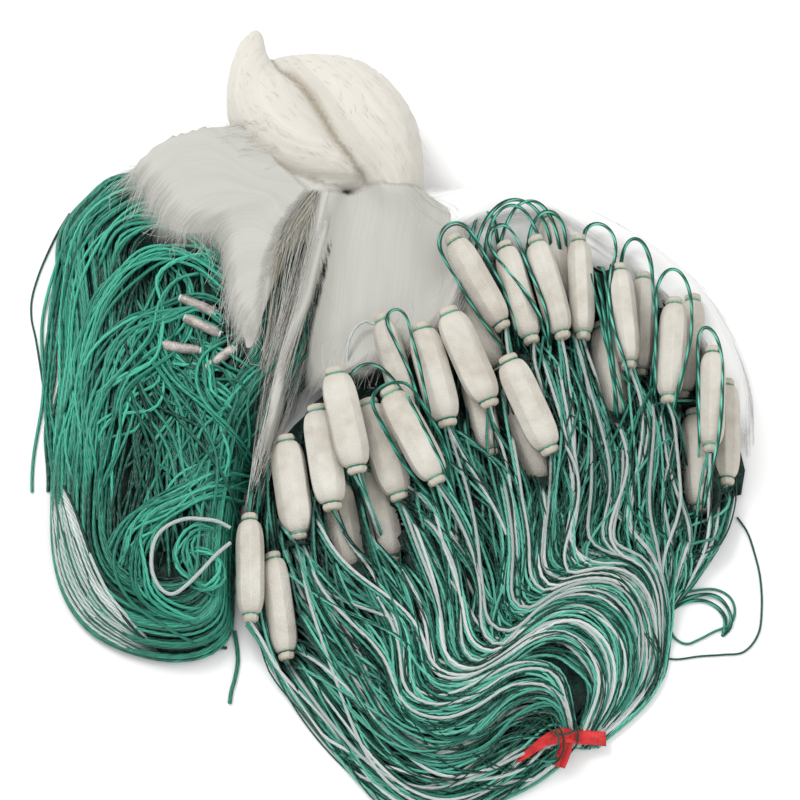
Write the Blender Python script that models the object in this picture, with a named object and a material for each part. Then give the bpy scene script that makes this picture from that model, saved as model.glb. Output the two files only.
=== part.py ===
"""A gill net bundled for stowing: knotted netting, a hank of lead line and a tied hank of float line.

The bundle lies on a flat surface at z = 0, with +Y towards the knot in the netting and -Y towards
the tie of the float line. Tables are in millimetres from the layout's own zero, and CENTRE moves
that zero to the middle of the bundle's footprint. Everything is built in metres.
"""

import math

import bmesh
import bpy
import numpy as np

# Driving dimensions, in millimetres unless they say otherwise.
MM = 0.001
CENTRE = (-0.38, -12.64)  # middle of the footprint, in the layout's coordinates
SEAT_GAP = 0.4  # a sinker, ribbon or cord to the line that it is bedded in
FLOAT_SEAT_GAP = 0.7  # a float to the turns that are heaped round it
NETTING_GAP = 0.6  # netting to the lines that it lies over
FLOAT_LENGTH = 68.0
FLOAT_WIDE = 10.8  # half the float's wide way across
FLOAT_DEEP = 8.2  # half its narrow way across
FLOAT_SIDES = 8
SINKER_LENGTH = 24.0
SINKER_RADIUS = 3.3
SINKER_SIDES = 8
CORD_RADIUS = 1.25  # white cord
TWINE_RADIUS = 0.65  # thin dark twine
CURL_RADIUS = 0.8
LOOSE_END_RADIUS = 1.3
CORD_SPACING = 3.0  # diameters between the points of a cord
CORD_MOST_POINTS = 80
CORD_TRIAL_POINTS = 200  # points that a cord's length is measured on
CURVE_STEPS = 24  # steps between two points of a table while a smooth curve is drawn
PLEAT_FULL_HEIGHT = 6.0  # half height of a roll from which its pleats have their full depth
SHARP_ANGLE = 50  # degrees between two faces, past which their edge is sharp
WELD = 0.00002  # metres: corners closer than this are one
CRUMB_FACES = 12  # an island of fewer faces is a crumb that a cut has left
FLOOR_BOX = 700.0
FLOOR_DEPTH = 60.0


# ---------------------------------------------------------------- shared ways of making shapes


def material(name, colour, roughness, metallic=0.0):
    """A Principled finish in one colour."""
    finish = bpy.data.materials.new(name)
    finish.use_nodes = True
    shader = finish.node_tree.nodes["Principled BSDF"]
    shader.inputs["Base Color"].default_value = (*colour, 1.0)
    shader.inputs["Roughness"].default_value = roughness
    shader.inputs["Metallic"].default_value = metallic
    return finish


def through(points, count):
    """A smooth curve through the points, read at count places evenly spaced along it."""
    table = np.array(points, dtype=float)
    before = 2 * table[0] - table[1]
    after = 2 * table[-1] - table[-2]
    table = np.vstack([before, table, after])
    steps = np.linspace(0.0, 1.0, CURVE_STEPS, endpoint=False)[:, None]
    runs = []
    for a, b, c, d in zip(table, table[1:], table[2:], table[3:]):
        cubic = -a + 3 * b - 3 * c + d
        square = 2 * a - 5 * b + 4 * c - d
        runs.append(0.5 * (2 * b + (c - a) * steps + square * steps**2 + cubic * steps**3))
    dense = np.vstack([*runs, table[-2:-1]])
    travelled = np.linalg.norm(np.diff(dense[:, :3], axis=0), axis=1)
    along = np.concatenate([[0.0], np.cumsum(travelled)])
    wanted = np.linspace(0.0, along[-1], count)
    return np.column_stack([np.interp(wanted, along, column) for column in dense.T])


def ring_faces(rings, around):
    """Quads of a closed tube of rings, with an n-gon at each end."""
    faces = []
    for ring in range(rings - 1):
        for side in range(around):
            after = (side + 1) % around
            here = ring * around
            beyond = here + around
            faces.append((here + side, here + after, beyond + after, beyond + side))
    last = (rings - 1) * around
    faces.append(tuple(range(around - 1, -1, -1)))
    faces.append(tuple(range(last, last + around)))
    return faces


def solid(name, points, faces, finish):
    """An object from millimetre points in the layout's coordinates, its faces turned outwards."""
    placed = (np.array(points, dtype=float) - (*CENTRE, 0.0)) * MM
    mesh = bpy.data.meshes.new(name)
    mesh.from_pydata(placed.tolist(), [], faces)
    shaped = bmesh.new()
    shaped.from_mesh(mesh)
    bmesh.ops.recalc_face_normals(shaped, faces=shaped.faces)
    shaped.to_mesh(mesh)
    shaped.free()
    mesh.shade_smooth()
    mesh.set_sharp_from_angle(angle=math.radians(SHARP_ANGLE))
    if finish:
        mesh.materials.append(finish)
    made = bpy.data.objects.new(name, mesh)
    bpy.context.collection.objects.link(made)
    return made


def loft(name, table, rings, around, pleat=0.0, grow=0.0, finish=None):
    """A soft roll through sections (x, y, z, half_width, half_height), pleated along its length."""
    sections = through(table, rings)
    path = sections[:, :3]
    forward = np.gradient(path, axis=0)
    forward /= np.linalg.norm(forward, axis=1)[:, None]
    side = np.cross(forward, (0.0, 0.0, 1.0))
    side /= np.linalg.norm(side, axis=1)[:, None]
    up = np.cross(side, forward)
    turn = np.arange(around) * 2 * math.pi / around
    fold = pleat * np.where(np.arange(around) % 2, 1.0, -1.0)
    points = []
    corner = 1.0 / math.cos(math.pi / around) if grow else 1.0
    for place, across, rise, (half_width, half_height) in zip(path, side, up, sections[:, 3:5]):
        share = min(1.0, half_height / PLEAT_FULL_HEIGHT)
        for angle, lift in zip(turn, fold):
            out = (half_width + lift * share + grow) * corner * math.cos(angle)
            top = (half_height + lift * share + grow) * corner * math.sin(angle)
            points.append(place + across * out + rise * top)
    points = np.array(points)
    if grow:
        points[:around] -= forward[0] * grow
        points[-around:] += forward[-1] * grow
    return solid(name, points, ring_faces(rings, around), finish)


def helper(made):
    """Marks an object as a cutter, which is no part of the net."""
    made.hide_render = True
    made.display_type = "WIRE"
    return made


def group(name, members):
    """A collection that holds cutters or pieces to be joined."""
    holder = bpy.data.collections.new(name)
    bpy.context.scene.collection.children.link(holder)
    for member in members:
        bpy.context.collection.objects.unlink(member)
        holder.objects.link(helper(member))
    return holder


def boolean(made, operation, other):
    """Joins or cuts an object with another object or a collection."""
    change = made.modifiers.new(operation.title(), "BOOLEAN")
    change.operation = operation
    change.solver = "EXACT"
    if isinstance(other, bpy.types.Collection):
        change.operand_type = "COLLECTION"
        change.collection = other
    else:
        change.object = other


def islands(shaped):
    """The faces of a mesh in the groups that hang together."""
    left = set(shaped.faces)
    while left:
        found = [left.pop()]
        for face in found:
            for edge in face.edges:
                for other in edge.link_faces:
                    if other in left:
                        left.remove(other)
                        found.append(other)
        yield found


def settle(made):
    """Makes an object's cuts and joins final, and drops the crumbs that thin cuts leave."""
    graph = bpy.context.evaluated_depsgraph_get()
    final = bpy.data.meshes.new_from_object(made.evaluated_get(graph))
    made.modifiers.clear()
    shaped = bmesh.new()
    shaped.from_mesh(final)
    bmesh.ops.remove_doubles(shaped, verts=shaped.verts, dist=WELD)
    bmesh.ops.dissolve_degenerate(shaped, edges=shaped.edges, dist=WELD)
    crumbs = [found for found in islands(shaped) if len(found) < CRUMB_FACES]
    bmesh.ops.delete(shaped, geom=[face for crumb in crumbs for face in crumb], context="FACES")
    shaped.to_mesh(final)
    shaped.free()
    made.data = final


def joined(members):
    """Overlapping shapes made one."""
    body, *others = members
    boolean(body, "UNION", group(f"{body.name}_others", others))
    settle(body)
    return body


def height_solid(name, grid, finish):
    """A bundle that lies on the surface: a grid of top points, closed down to a flat underside."""
    rows, columns = grid.shape[:2]
    faces = []
    for row in range(rows - 1):
        for column in range(columns - 1):
            here = row * columns + column
            faces.append((here, here + 1, here + columns + 1, here + columns))
    edge = list(range(columns))
    edge += [row * columns + columns - 1 for row in range(1, rows)]
    edge += [(rows - 1) * columns + column for column in range(columns - 2, -1, -1)]
    edge += [row * columns for row in range(rows - 2, 0, -1)]
    top = grid.reshape(-1, 3)
    under = top[edge] * (1.0, 1.0, 0.0)
    first = len(top)
    for index, point in enumerate(edge):
        after = (index + 1) % len(edge)
        faces.append((point, first + index, first + after, edge[after]))
    faces.append(tuple(range(first, first + len(edge))))
    return solid(name, np.vstack([top, under]), faces, finish)


# ---------------------------------------------------------------- floats

# Half of a float, in shares of its half length, half width and half depth: a barrel that draws
# in to a groove for the twine, with a small button past it.
FLOAT_PROFILE = (
    # from_middle, wide, deep
    (0.5, 0.98, 0.99),
    (0.765, 0.80, 0.86),
    (0.865, 0.46, 0.60),
    (0.912, 0.57, 0.72),
    (1.0, 0.44, 0.58),
)
SEAT_PROFILE = (
    # from_middle, wide, deep
    (0.618, 1.02, 1.02),
    (1.0, 0.72, 0.82),
)

# Middle of each float, the way that its lower end points (degrees from -Y towards +X), how far
# that end dips, and how far the float is rolled from lying on its wide side.
FLOATS = (
    # x, y, z, turn, dip, roll
    (-91, -124, 25, 1, 8, 70),
    (-73, -145, 15, 8, 8, 60),
    (-66, -71, 25, 8, 8, 20),
    (-46, -55, 35, 9, 8, 0),
    (-33, -37, 50, 13, 12, -5),
    (-10, -47, 29, 18, 8, -10),
    (8, -45, 45, 28, 10, -10),
    (-3, 6, 36, 15, 8, 80),
    (21, -2, 41, 15, 10, 0),
    (42, 7, 47, 24, 12, -10),
    (79, -21, 38, 24, 10, 10),
    (46, 41, 18, 31, 8, 20),
    (48, 61, 41, 29, 10, 60),
    (73, 55, 39, 15, 8, 70),
    (92, 56, 44, 15, 10, 75),
    (98, 84, 22, 9, 8, 70),
    (112, 60, 36, 2, 8, 90),
    (138, 39, 38, 5, 8, 80),
    (150, 42, 20, -2, 8, 80),
    (129, 11, 15, 8, 8, 40),
    (167, 15, 40, -4, 8, 70),
    (178, 27, 20, -7, 8, 60),
    (191, -17, 37, -2, 8, 80),
    (201, -29, 15, -1, 8, 80),
    (182, -48, 14, 2, 5, 60),
    (79, -33, 17, 20, 8, 20),
    (49, -15, 24, 13, 8, 70),
    (-35, -90, 13, 11, 6, 0),
    (-12, -82, 11, 11, 4, 0),
)


def float_frame(row):
    """A float's middle, its long way and its wide and deep ways, as unit vectors."""
    turn, dip, roll = (math.radians(angle) for angle in row[3:])
    flat = math.cos(dip)
    along = np.array([math.sin(turn) * flat, -math.cos(turn) * flat, -math.sin(dip)])
    across = np.array([math.cos(turn), math.sin(turn), 0.0])
    rise = np.cross(along, across)
    rise *= math.copysign(1.0, rise[2])
    wide = across * math.cos(roll) + rise * math.sin(roll)
    deep = rise * math.cos(roll) - across * math.sin(roll)
    return np.array(row[:3], dtype=float), along, wide, deep


def float_shape(name, row, profile, grow, finish):
    """A float from its half profile, mirrored end for end."""
    middle, along, wide, deep = float_frame(row)
    half_length = FLOAT_LENGTH / 2 + grow
    turn = (np.arange(FLOAT_SIDES) + 0.5) * 2 * math.pi / FLOAT_SIDES
    stations = [(-far, *shares) for far, *shares in reversed(profile)]
    stations += profile
    points = []
    for far, wide_share, deep_share in stations:
        half_wide = FLOAT_WIDE * wide_share + grow
        half_deep = FLOAT_DEEP * deep_share + grow
        for angle in turn:
            across = wide * half_wide * math.cos(angle) + deep * half_deep * math.sin(angle)
            points.append(middle + along * half_length * far + across)
    return solid(name, points, ring_faces(len(stations), FLOAT_SIDES), finish)


def make_floats(finish):
    """One node for each float."""
    for index, row in enumerate(FLOATS):
        float_shape(f"float_{index + 1:02d}", row, FLOAT_PROFILE, 0.0, finish)


def float_seats():
    """Plainer and slightly larger floats, which leave each float its seat in the line."""
    return [
        float_shape(f"seat_{index}", row, SEAT_PROFILE, FLOAT_SEAT_GAP, None)
        for index, row in enumerate(FLOATS)
    ]


# ---------------------------------------------------------------- float line hank

# The way that the line runs, from behind the floats down to the tie, one guide for each part of
# the fan from left to right. The points of a guide are (x, y, height of the bundle).
FLOAT_LINE_GUIDES = (
    ((-84, -30, 4), (-95, -75, 5), (-99, -115, 5), (-96, -150, 5), (-79, -180, 5), (-57, -204, 5),
     (-36, -227, 5), (-20, -252, 4), (2, -267, 4), (28, -270, 4), (52, -263, 4), (74, -252, 4),
     (95, -240, 4)),
    ((-70, -22, 14), (-80, -70, 22), (-82, -115, 24), (-76, -150, 25), (-56, -177, 24),
     (-34, -202, 22), (-13, -227, 20), (8, -245, 18), (36, -253, 17), (62, -249, 17), (95, -239, 6)),
    ((-52, -2, 18), (-55, -50, 26), (-54, -95, 29), (-44, -135, 30), (-26, -165, 28),
     (-5, -192, 26), (18, -217, 24), (42, -234, 22), (66, -240, 20), (96, -238, 7)),
    ((-30, 14, 17), (-26, -30, 28), (-20, -80, 30), (-10, -120, 32), (5, -155, 31),
     (24, -185, 29), (46, -210, 26), (70, -228, 22), (97, -236, 7)),
    ((1, 30, 18), (8, -10, 30), (12, -60, 31), (20, -105, 33), (33, -142, 32), (50, -172, 30),
     (66, -198, 27), (82, -219, 23), (99, -234, 7)),
    ((38, 72, 22), (50, 15, 30), (56, -40, 32), (60, -90, 34), (66, -130, 33), (76, -160, 31),
     (85, -188, 28), (92, -210, 23), (101, -232, 7)),
    ((80, 97, 20), (92, 35, 30), (98, -25, 32), (102, -75, 34), (104, -115, 33), (106, -148, 31),
     (106, -175, 27), (103, -196, 24), (101, -212, 21), (103, -230, 7)),
    ((118, 98, 18), (126, 40, 28), (132, -20, 31), (136, -70, 33), (134, -110, 31), (128, -142, 29),
     (124, -167, 27), (118, -187, 25), (111, -203, 22), (105, -228, 7)),
    ((152, 80, 16), (162, 30, 26), (166, -25, 28), (166, -75, 29), (154, -110, 28), (142, -138, 26),
     (137, -160, 24), (132, -180, 22), (123, -196, 20), (114, -210, 18), (106, -227, 7)),
    ((182, 45, 12), (193, 0, 20), (196, -40, 21), (190, -80, 21), (173, -110, 20), (153, -135, 18),
     (147, -155, 17), (143, -175, 16), (133, -191, 15), (119, -208, 14), (107, -226, 6)),
    ((197, 35, 4), (209, -5, 5), (211, -45, 5), (203, -90, 5), (186, -113, 5), (162, -129, 5),
     (156, -152, 5), (153, -172, 5), (142, -190, 5), (126, -209, 5), (108, -225, 4)),
)
FLOAT_LINE_COLUMNS = 49
FLOAT_LINE_ROWS = 17
FLOAT_LINE_RIDGE = 1.5  # half the height of a strand group over the hollow beside it
FLOAT_LINE_EDGE = 4  # columns over which the ridges rise from the fan's two edges
RIDGE_CHANGE = 0.6  # share of a ridge's height that comes and goes along it
THINNEST = 2.5  # least height of a bundle of line
SWIRL = (106.0, -197.0)  # hollow that the last turns run round, just above the tie
SWIRL_DEPTH = 9.0
SWIRL_REACH = 11.0
BED_REACH = 15.0  # how far from a float's middle line the turns are pushed up round it
BED_DEPTH = 3.0  # how far the turns stay under that line
BED_SLOPE = 0.35  # share of their height that is gone at the reach's end
FLOAT_BARREL = 24.0  # half the length of a float that turns are heaped round
BARE_REACH = 10.0  # within this of its middle line a float stays uncovered
BARE_HEIGHT = 3.0  # the turns reach no further than this over that line there


def bedded(x, y, height):
    """The bundle's height once its turns are heaped round the upper floats and leave all bare."""
    lowest_cover = height + FLOOR_DEPTH
    for row in FLOATS:
        middle, along, _, _ = float_frame(row)
        reach = (x - middle[0]) * along[0] + (y - middle[1]) * along[1]
        near = middle + along * max(-FLOAT_BARREL, min(FLOAT_BARREL, reach))
        away = math.hypot(x - near[0], y - near[1])
        if away < BED_REACH:
            slope = 1.0 - BED_SLOPE * (away / BED_REACH) ** 2
            height = max(height, (near[2] - BED_DEPTH) * slope)
        if away < BARE_REACH:
            lowest_cover = min(lowest_cover, near[2] + BARE_HEIGHT)
    return min(height, lowest_cover)


def make_float_line(finish):
    """The tied hank of float line, ridged along its turns and bedded round the floats."""
    guides = [through(guide, FLOAT_LINE_ROWS) for guide in FLOAT_LINE_GUIDES]
    grid = np.array(
        [
            through([guide[row] for guide in guides], FLOAT_LINE_COLUMNS)
            for row in range(FLOAT_LINE_ROWS)
        ]
    )
    last = FLOAT_LINE_COLUMNS - 1
    for row in range(FLOAT_LINE_ROWS):
        for column in range(FLOAT_LINE_COLUMNS):
            x, y, height = grid[row, column]
            inside = min(1.0, column / FLOAT_LINE_EDGE, (last - column) / FLOAT_LINE_EDGE)
            fade = 1.0 + RIDGE_CHANGE * math.sin(0.55 * row + 1.7 * column)
            height += FLOAT_LINE_RIDGE * fade * inside * (1 if column % 2 else -1)
            dent = math.hypot(x - SWIRL[0], y - SWIRL[1]) / SWIRL_REACH
            height -= SWIRL_DEPTH * math.exp(-(dent**2))
            if 1 < column < last - 1:
                height = bedded(x, y, height)
            grid[row, column, 2] = max(height, THINNEST)
    return height_solid("float_line_hank", grid, finish)


# ---------------------------------------------------------------- lead line hank

# Outline of the hank on the surface, round from its top left corner anticlockwise.
LEAD_LINE_RIM = (
    # x, y
    (-182, 153), (-200, 136), (-213, 118), (-216, 98), (-213, 74), (-208, 50), (-206, 28),
    (-210, 2), (-214, -28), (-214, -84), (-211, -114), (-203, -138), (-189, -157), (-168, -170),
    (-143, -177), (-122, -176), (-108, -168), (-101.5, -154), (-101.5, -115), (-98, -76),
    (-90, -34), (-75, -12), (-57, 8), (-43, 28), (-41, 60), (-48, 92), (-66, 118), (-92, 135),
    (-122, 146), (-152, 154),
)
LEAD_LINE_CORE = ((-132, 72), (-144, -105))  # line that the turns close in on
LEAD_LINE_AROUND = 60
LEAD_LINE_RISE = (
    # share of the way in from the rim, height
    (0.0, 3.0), (0.06, 12.0), (0.14, 21.0), (0.24, 28.0), (0.36, 32.0), (0.5, 33.0),
    (0.65, 31.0), (0.82, 28.0), (1.0, 27.0),
)
LEAD_LINE_STEPS = 15
LEAD_LINE_INNER = 0.93  # share of the way in at which the innermost turn lies
LEAD_LINE_WANDER = 0.022  # share of the way in by which the turns leave a plain oval
LEAD_LINE_RIDGE = 1.6


def make_lead_line(finish):
    """The hank of lead line: an oval of turns, ridged along them, with a flatter middle."""
    rim = through([*LEAD_LINE_RIM, LEAD_LINE_RIM[0]], LEAD_LINE_AROUND + 1)[:-1]
    start, end = (np.array(point, dtype=float) for point in LEAD_LINE_CORE)
    run = end - start
    share_in, heights = zip(*LEAD_LINE_RISE)
    points = []
    steps = np.linspace(0.0, LEAD_LINE_INNER, LEAD_LINE_STEPS)
    for step, share in enumerate(steps):
        for index, edge in enumerate(rim):
            turn = index * 2 * math.pi / LEAD_LINE_AROUND
            along = np.clip((edge - start) @ run / (run @ run), 0.0, 1.0)
            wander = math.sin(3 * turn + 0.8 * step) * math.sin(math.pi * share)
            inward = share + LEAD_LINE_WANDER * wander
            place = edge + (start + run * along - edge) * inward
            fade = 1.0 + RIDGE_CHANGE * math.sin(2 * turn + 2.1 * step)
            height = np.interp(share, share_in, heights)
            if 0 < step:
                height += LEAD_LINE_RIDGE * fade * (1 if step % 2 else -1)
            points.append((*place, max(height, THINNEST)))
    around = LEAD_LINE_AROUND
    under = [(x, y, 0.0) for x, y, _ in points[:around]]
    rings = [*under, *points]
    return solid("lead_line_hank", rings, ring_faces(LEAD_LINE_STEPS + 1, around), finish)


# ---------------------------------------------------------------- netting

# Rolls that the gathered netting lies in. Each row is a section from the roll's start to its end.
NETTING_ROLLS = {
    # x, y, z, half_width, half_height
    "left_lobe": (
        ((-90, 243, 31, 4, 4), (-94, 229, 30, 10, 10), (-93, 208, 29, 17, 18),
         (-86, 191, 29, 25, 25), (-75, 174, 29, 27, 28), (-58, 156, 30, 23, 26),
         (-41, 145, 31, 14, 19), (-28, 139, 30, 6, 10)), 12, 24, 0.5),
    "right_lobe": (
        ((-78, 224, 16, 7, 10), (-58, 211, 24, 18, 20), (-36, 196, 29, 27, 28),
         (-20, 174, 30, 30, 29), (-9, 154, 28, 25, 27), (-3, 136, 24, 18, 22),
         (-3, 120, 18, 18, 18)), 12, 26, 0.5),
    "right_wing": (
        ((-14, 146, 18, 14, 18), (-11, 122, 15, 27, 17), (-8, 98, 14, 38, 16),
         (-3, 74, 12, 44, 14), (-11, 52, 11, 41, 13), (-30, 34, 10, 29, 12), (-46, 22, 9, 14, 8)),
        10, 24, 0.6),
    "back_roll": (
        ((8, 100, 12, 24, 16), (36, 108, 11, 24, 16), (66, 118, 11, 24, 16), (98, 112, 10, 23, 15),
         (128, 98, 10, 21, 14), (156, 78, 9, 19, 13), (180, 52, 8, 17, 11), (197, 22, 7, 14, 10),
         (206, -6, 5, 9, 8)), 14, 14, 0.5),
    "left_wing_high": (
        ((-58, 142, 24, 14, 16), (-92, 147, 29, 24, 13), (-122, 149, 32, 24, 9),
         (-147, 143, 34, 18, 5), (-166, 135, 33, 8, 2.5)), 8, 16, 0.5),
    "left_wing_low": (
        ((-58, 136, 24, 16, 15), (-87, 127, 31, 23, 10), (-112, 117, 34, 21, 7),
         (-134, 107, 36, 14, 4), (-147, 101, 35, 6, 2.5)), 8, 16, 0.5),
    "centre_tuft": (
        ((-55, 130, 24, 14, 14), (-74, 106, 31, 18, 9), (-86, 77, 34, 16, 6),
         (-92, 46, 34.5, 11, 4), (-93, 16, 33.5, 4.5, 2.5)), 9, 14, 0.5),
    "tail": (
        ((-43, 132, 28, 8, 7), (-53, 84, 34, 6, 5), (-63, 38, 35, 5.5, 4.5), (-73, -2, 35.5, 5, 4),
         (-82, -38, 35, 4.5, 3.5), (-90, -80, 35, 3.5, 2.8)), 15, 8, 0.0),
}


CUTTER_LEAST_SIDES = 8


def make_netting(finish):
    """The gathered netting, its rolls joined and cut flat where they lie on the surface."""
    rolls = []
    for name, (table, rings, around, pleat) in NETTING_ROLLS.items():
        rolls.append(loft(name, table, rings, around, pleat))
    body = joined(rolls)
    body.name = "netting"
    body.data.materials.append(finish)
    corner = FLOOR_BOX / 2
    corners = [
        (x, y, z)
        for z in (-FLOOR_DEPTH, 0.0)
        for x, y in ((-corner, -corner), (corner, -corner), (corner, corner), (-corner, corner))
    ]
    surface = helper(solid("surface", corners, ring_faces(2, 4), None))
    boolean(body, "DIFFERENCE", surface)
    return body


def netting_cutters():
    """The netting's rolls, a little larger and unpleated, which press into the lines under them."""
    cutters = []
    for name, (table, rings, around, pleat) in NETTING_ROLLS.items():
        sides = max(CUTTER_LEAST_SIDES, around // 2)
        cutters.append(loft(f"under_{name}", table, rings, sides, 0.0, NETTING_GAP + pleat))
    return cutters


# ---------------------------------------------------------------- sinkers

SINKERS = (
    # x, y, z, turn in degrees from +X, dip
    (-125, 50, 31, -24, 3),
    (-122, 36, 31, -26, 2),
    (-135, 21, 31, -9, 2),
    (-112, 13, 31, 38, -3),
)
SINKER_PROFILE = (
    # share of the half length, share of the radius
    (-1.0, 0.62), (-0.86, 0.9), (-0.4, 1.0), (0.4, 1.0), (0.86, 0.9), (1.0, 0.62),
)


def sinker_shape(name, row, grow, finish):
    """A cast sinker: a short barrel threaded on the line."""
    x, y, z, turn, dip = row
    turn, dip = math.radians(turn), math.radians(dip)
    along = np.array([math.cos(turn) * math.cos(dip), math.sin(turn) * math.cos(dip), -math.sin(dip)])
    across = np.array([-math.sin(turn), math.cos(turn), 0.0])
    up = np.cross(along, across)
    points = []
    for far, share in SINKER_PROFILE:
        reach = far * (SINKER_LENGTH / 2 + grow)
        radius = SINKER_RADIUS * share + grow
        for side in range(SINKER_SIDES):
            angle = side * 2 * math.pi / SINKER_SIDES
            out = (across * math.cos(angle) + up * math.sin(angle)) * radius
            points.append(np.array([x, y, z]) + along * reach + out)
    return solid(name, points, ring_faces(len(SINKER_PROFILE), SINKER_SIDES), finish)


# ---------------------------------------------------------------- ribbon

# The ribbon lies over the gathered turns, narrow where it is twisted at its left end.
RIBBON = (
    # x, y, z of its middle line, half_width, half_thickness
    (66, -247, 14.5, 1.6, 0.7),
    (76, -243, 19.5, 2.2, 0.7),
    (86, -236, 22.0, 3.4, 0.7),
    (96, -231, 19.0, 4.6, 0.7),
    (105, -229, 13.0, 4.8, 0.7),
    (113, -228, 8.5, 4.6, 0.7),
    (124, -228, 6.0, 4.6, 0.7),
)
RIBBON_RINGS = 14


def ribbon_shape(name, grow, finish):
    """A flat strip on the ribbon's middle line."""
    line = through(RIBBON, RIBBON_RINGS)
    path = line[:, :3]
    forward = np.gradient(path, axis=0)
    forward /= np.linalg.norm(forward, axis=1)[:, None]
    side = np.cross(forward, (0.0, 0.0, 1.0))
    side /= np.linalg.norm(side, axis=1)[:, None]
    up = np.cross(side, forward)
    points = []
    for place, across, rise, (half_width, half_thick) in zip(path, side, up, line[:, 3:5]):
        for out, top in ((-1, -1), (1, -1), (1, 1), (-1, 1)):
            reach = across * out * (half_width + grow) + rise * top * (half_thick + grow)
            points.append(place + reach)
    points = np.array(points)
    points[:4] -= forward[0] * grow
    points[-4:] += forward[-1] * grow
    return solid(name, points, ring_faces(RIBBON_RINGS, 4), finish)


# ---------------------------------------------------------------- free cords

WHITE_CORD_ROUTE = (
    (-103, -101, 33), (-111, -98, 36), (-120, -97, 37), (-130, -97, 37.5), (-140, -101, 37.5),
    (-147, -108, 37.5), (-150, -118, 37.5), (-150, -130, 37.5), (-147, -139, 37.5),
    (-142, -145, 37), (-136, -146, 37), (-128, -140, 37.5), (-119, -130, 37.5), (-111, -120, 36.5),
    (-103, -111, 33),
)
STRAY_LEFT_ROUTE = (
    (-208, 129, 1.1), (-214, 118, 0.8), (-220, 104, 0.8), (-226, 87, 0.8), (-230, 70, 0.8),
    (-230, 56, 0.8), (-227, 42, 0.8), (-224, 25, 0.8), (-221, 6, 0.8), (-218, -14, 0.8),
    (-216, -30, 1.1),
)
STRAY_RIGHT_ROUTE = (
    (207, -80, 1.1), (213, -90, 0.8), (217, -104, 0.8), (220, -120, 0.8), (220.5, -139, 0.8),
    (218, -157, 0.8), (209, -169, 0.8), (196, -171, 0.8), (182, -172, 0.8), (167, -174, 0.8),
    (154.2, -171.6, 1.1),
)
CURL_ROUTE = (
    (159.55, -141, 1.2), (167, -133.5, 1.0), (179, -129, 1.0), (192, -128, 1.0), (201, -133, 1.0),
    (204, -142, 1.0), (201, -151, 1.0), (191, -156, 1.0), (182, -161, 1.0), (174, -164, 1.0),
    (167, -160, 1.0), (164, -152, 1.0),
)
LOOSE_END_ROUTE = (
    (-100.65, -156, 2.0), (-98.8, -168, 1.5), (-98.5, -177, 1.4), (-100, -187, 1.4), (-102, -195, 1.4),
    (-103, -203, 1.4),
)
GROOVE_RINGS = 40
GROOVE_SIDES = 8


def cord(name, route, radius, finish):
    """A round cord on a smooth curve through its route."""
    rough = through(route, CORD_TRIAL_POINTS)
    length = np.linalg.norm(np.diff(rough, axis=0), axis=1).sum()
    count = min(CORD_MOST_POINTS, int(length / (2 * radius * CORD_SPACING)) + 2)
    points = (through(route, count) - (*CENTRE, 0.0)) * MM
    data = bpy.data.curves.new(name, "CURVE")
    data.dimensions = "3D"
    line = data.splines.new("POLY")
    line.points.add(count - 1)
    for point, place in zip(line.points, points):
        point.co = (*place, 1.0)
    data.bevel_depth = radius * MM
    data.bevel_resolution = 2
    data.use_fill_caps = True
    data.materials.append(finish)
    made = bpy.data.objects.new(name, data)
    bpy.context.collection.objects.link(made)
    return made


def cord_groove(name, route, radius):
    """A cutter a little thicker than a cord, which lets it bed into the turns."""
    table = [(x, y, z, radius + SEAT_GAP, radius + SEAT_GAP) for x, y, z in route]
    return loft(name, table, GROOVE_RINGS, GROOVE_SIDES)


# ---------------------------------------------------------------- the bundle


def build():
    for old in list(bpy.data.objects):
        bpy.data.objects.remove(old)

    net_white = material("net_white", (0.78, 0.76, 0.72), 0.75)
    foam = material("float_foam", (0.76, 0.71, 0.62), 0.6)
    green = material("lead_line_green", (0.06, 0.36, 0.24), 0.5)
    mint = material("float_line_mint", (0.25, 0.5, 0.4), 0.5)
    lead = material("sinker_lead", (0.4, 0.4, 0.38), 0.45, 0.8)
    red = material("ribbon_red", (0.65, 0.03, 0.03), 0.45)
    white = material("cord_white", (0.8, 0.82, 0.8), 0.6)
    dark = material("twine_dark_green", (0.02, 0.14, 0.09), 0.5)

    netting = make_netting(net_white)
    lead_line = make_lead_line(green)
    float_line = make_float_line(mint)
    make_floats(foam)
    for index, row in enumerate(SINKERS):
        sinker_shape(f"sinker_{index + 1}", row, 0.0, lead)
    ribbon_shape("tie_ribbon", 0.0, red)

    cord("white_cord_loop", WHITE_CORD_ROUTE, CORD_RADIUS, white)
    cord("stray_loop_left", STRAY_LEFT_ROUTE, TWINE_RADIUS, dark)
    cord("stray_loop_right", STRAY_RIGHT_ROUTE, TWINE_RADIUS, dark)
    cord("stray_curl_right", CURL_ROUTE, CURL_RADIUS, mint)
    cord("loose_end_green", LOOSE_END_ROUTE, LOOSE_END_RADIUS, green)

    seats = helper(joined(float_seats()))
    beds = [helper(cutter) for cutter in netting_cutters()]
    grooves = [sinker_shape(f"sinker_seat_{n}", row, SEAT_GAP, None) for n, row in enumerate(SINKERS)]
    grooves.append(cord_groove("white_cord_groove", WHITE_CORD_ROUTE, CORD_RADIUS))
    small_seats = group("small_seats", grooves)

    boolean(netting, "DIFFERENCE", seats)
    for bundle in (lead_line, float_line):
        boolean(bundle, "DIFFERENCE", seats)
        for bed in beds:
            boolean(bundle, "DIFFERENCE", bed)
    boolean(lead_line, "DIFFERENCE", small_seats)
    boolean(float_line, "DIFFERENCE", helper(ribbon_shape("ribbon_seat", SEAT_GAP, None)))
    for bundle in (netting, lead_line, float_line):
        settle(bundle)


build()
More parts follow.
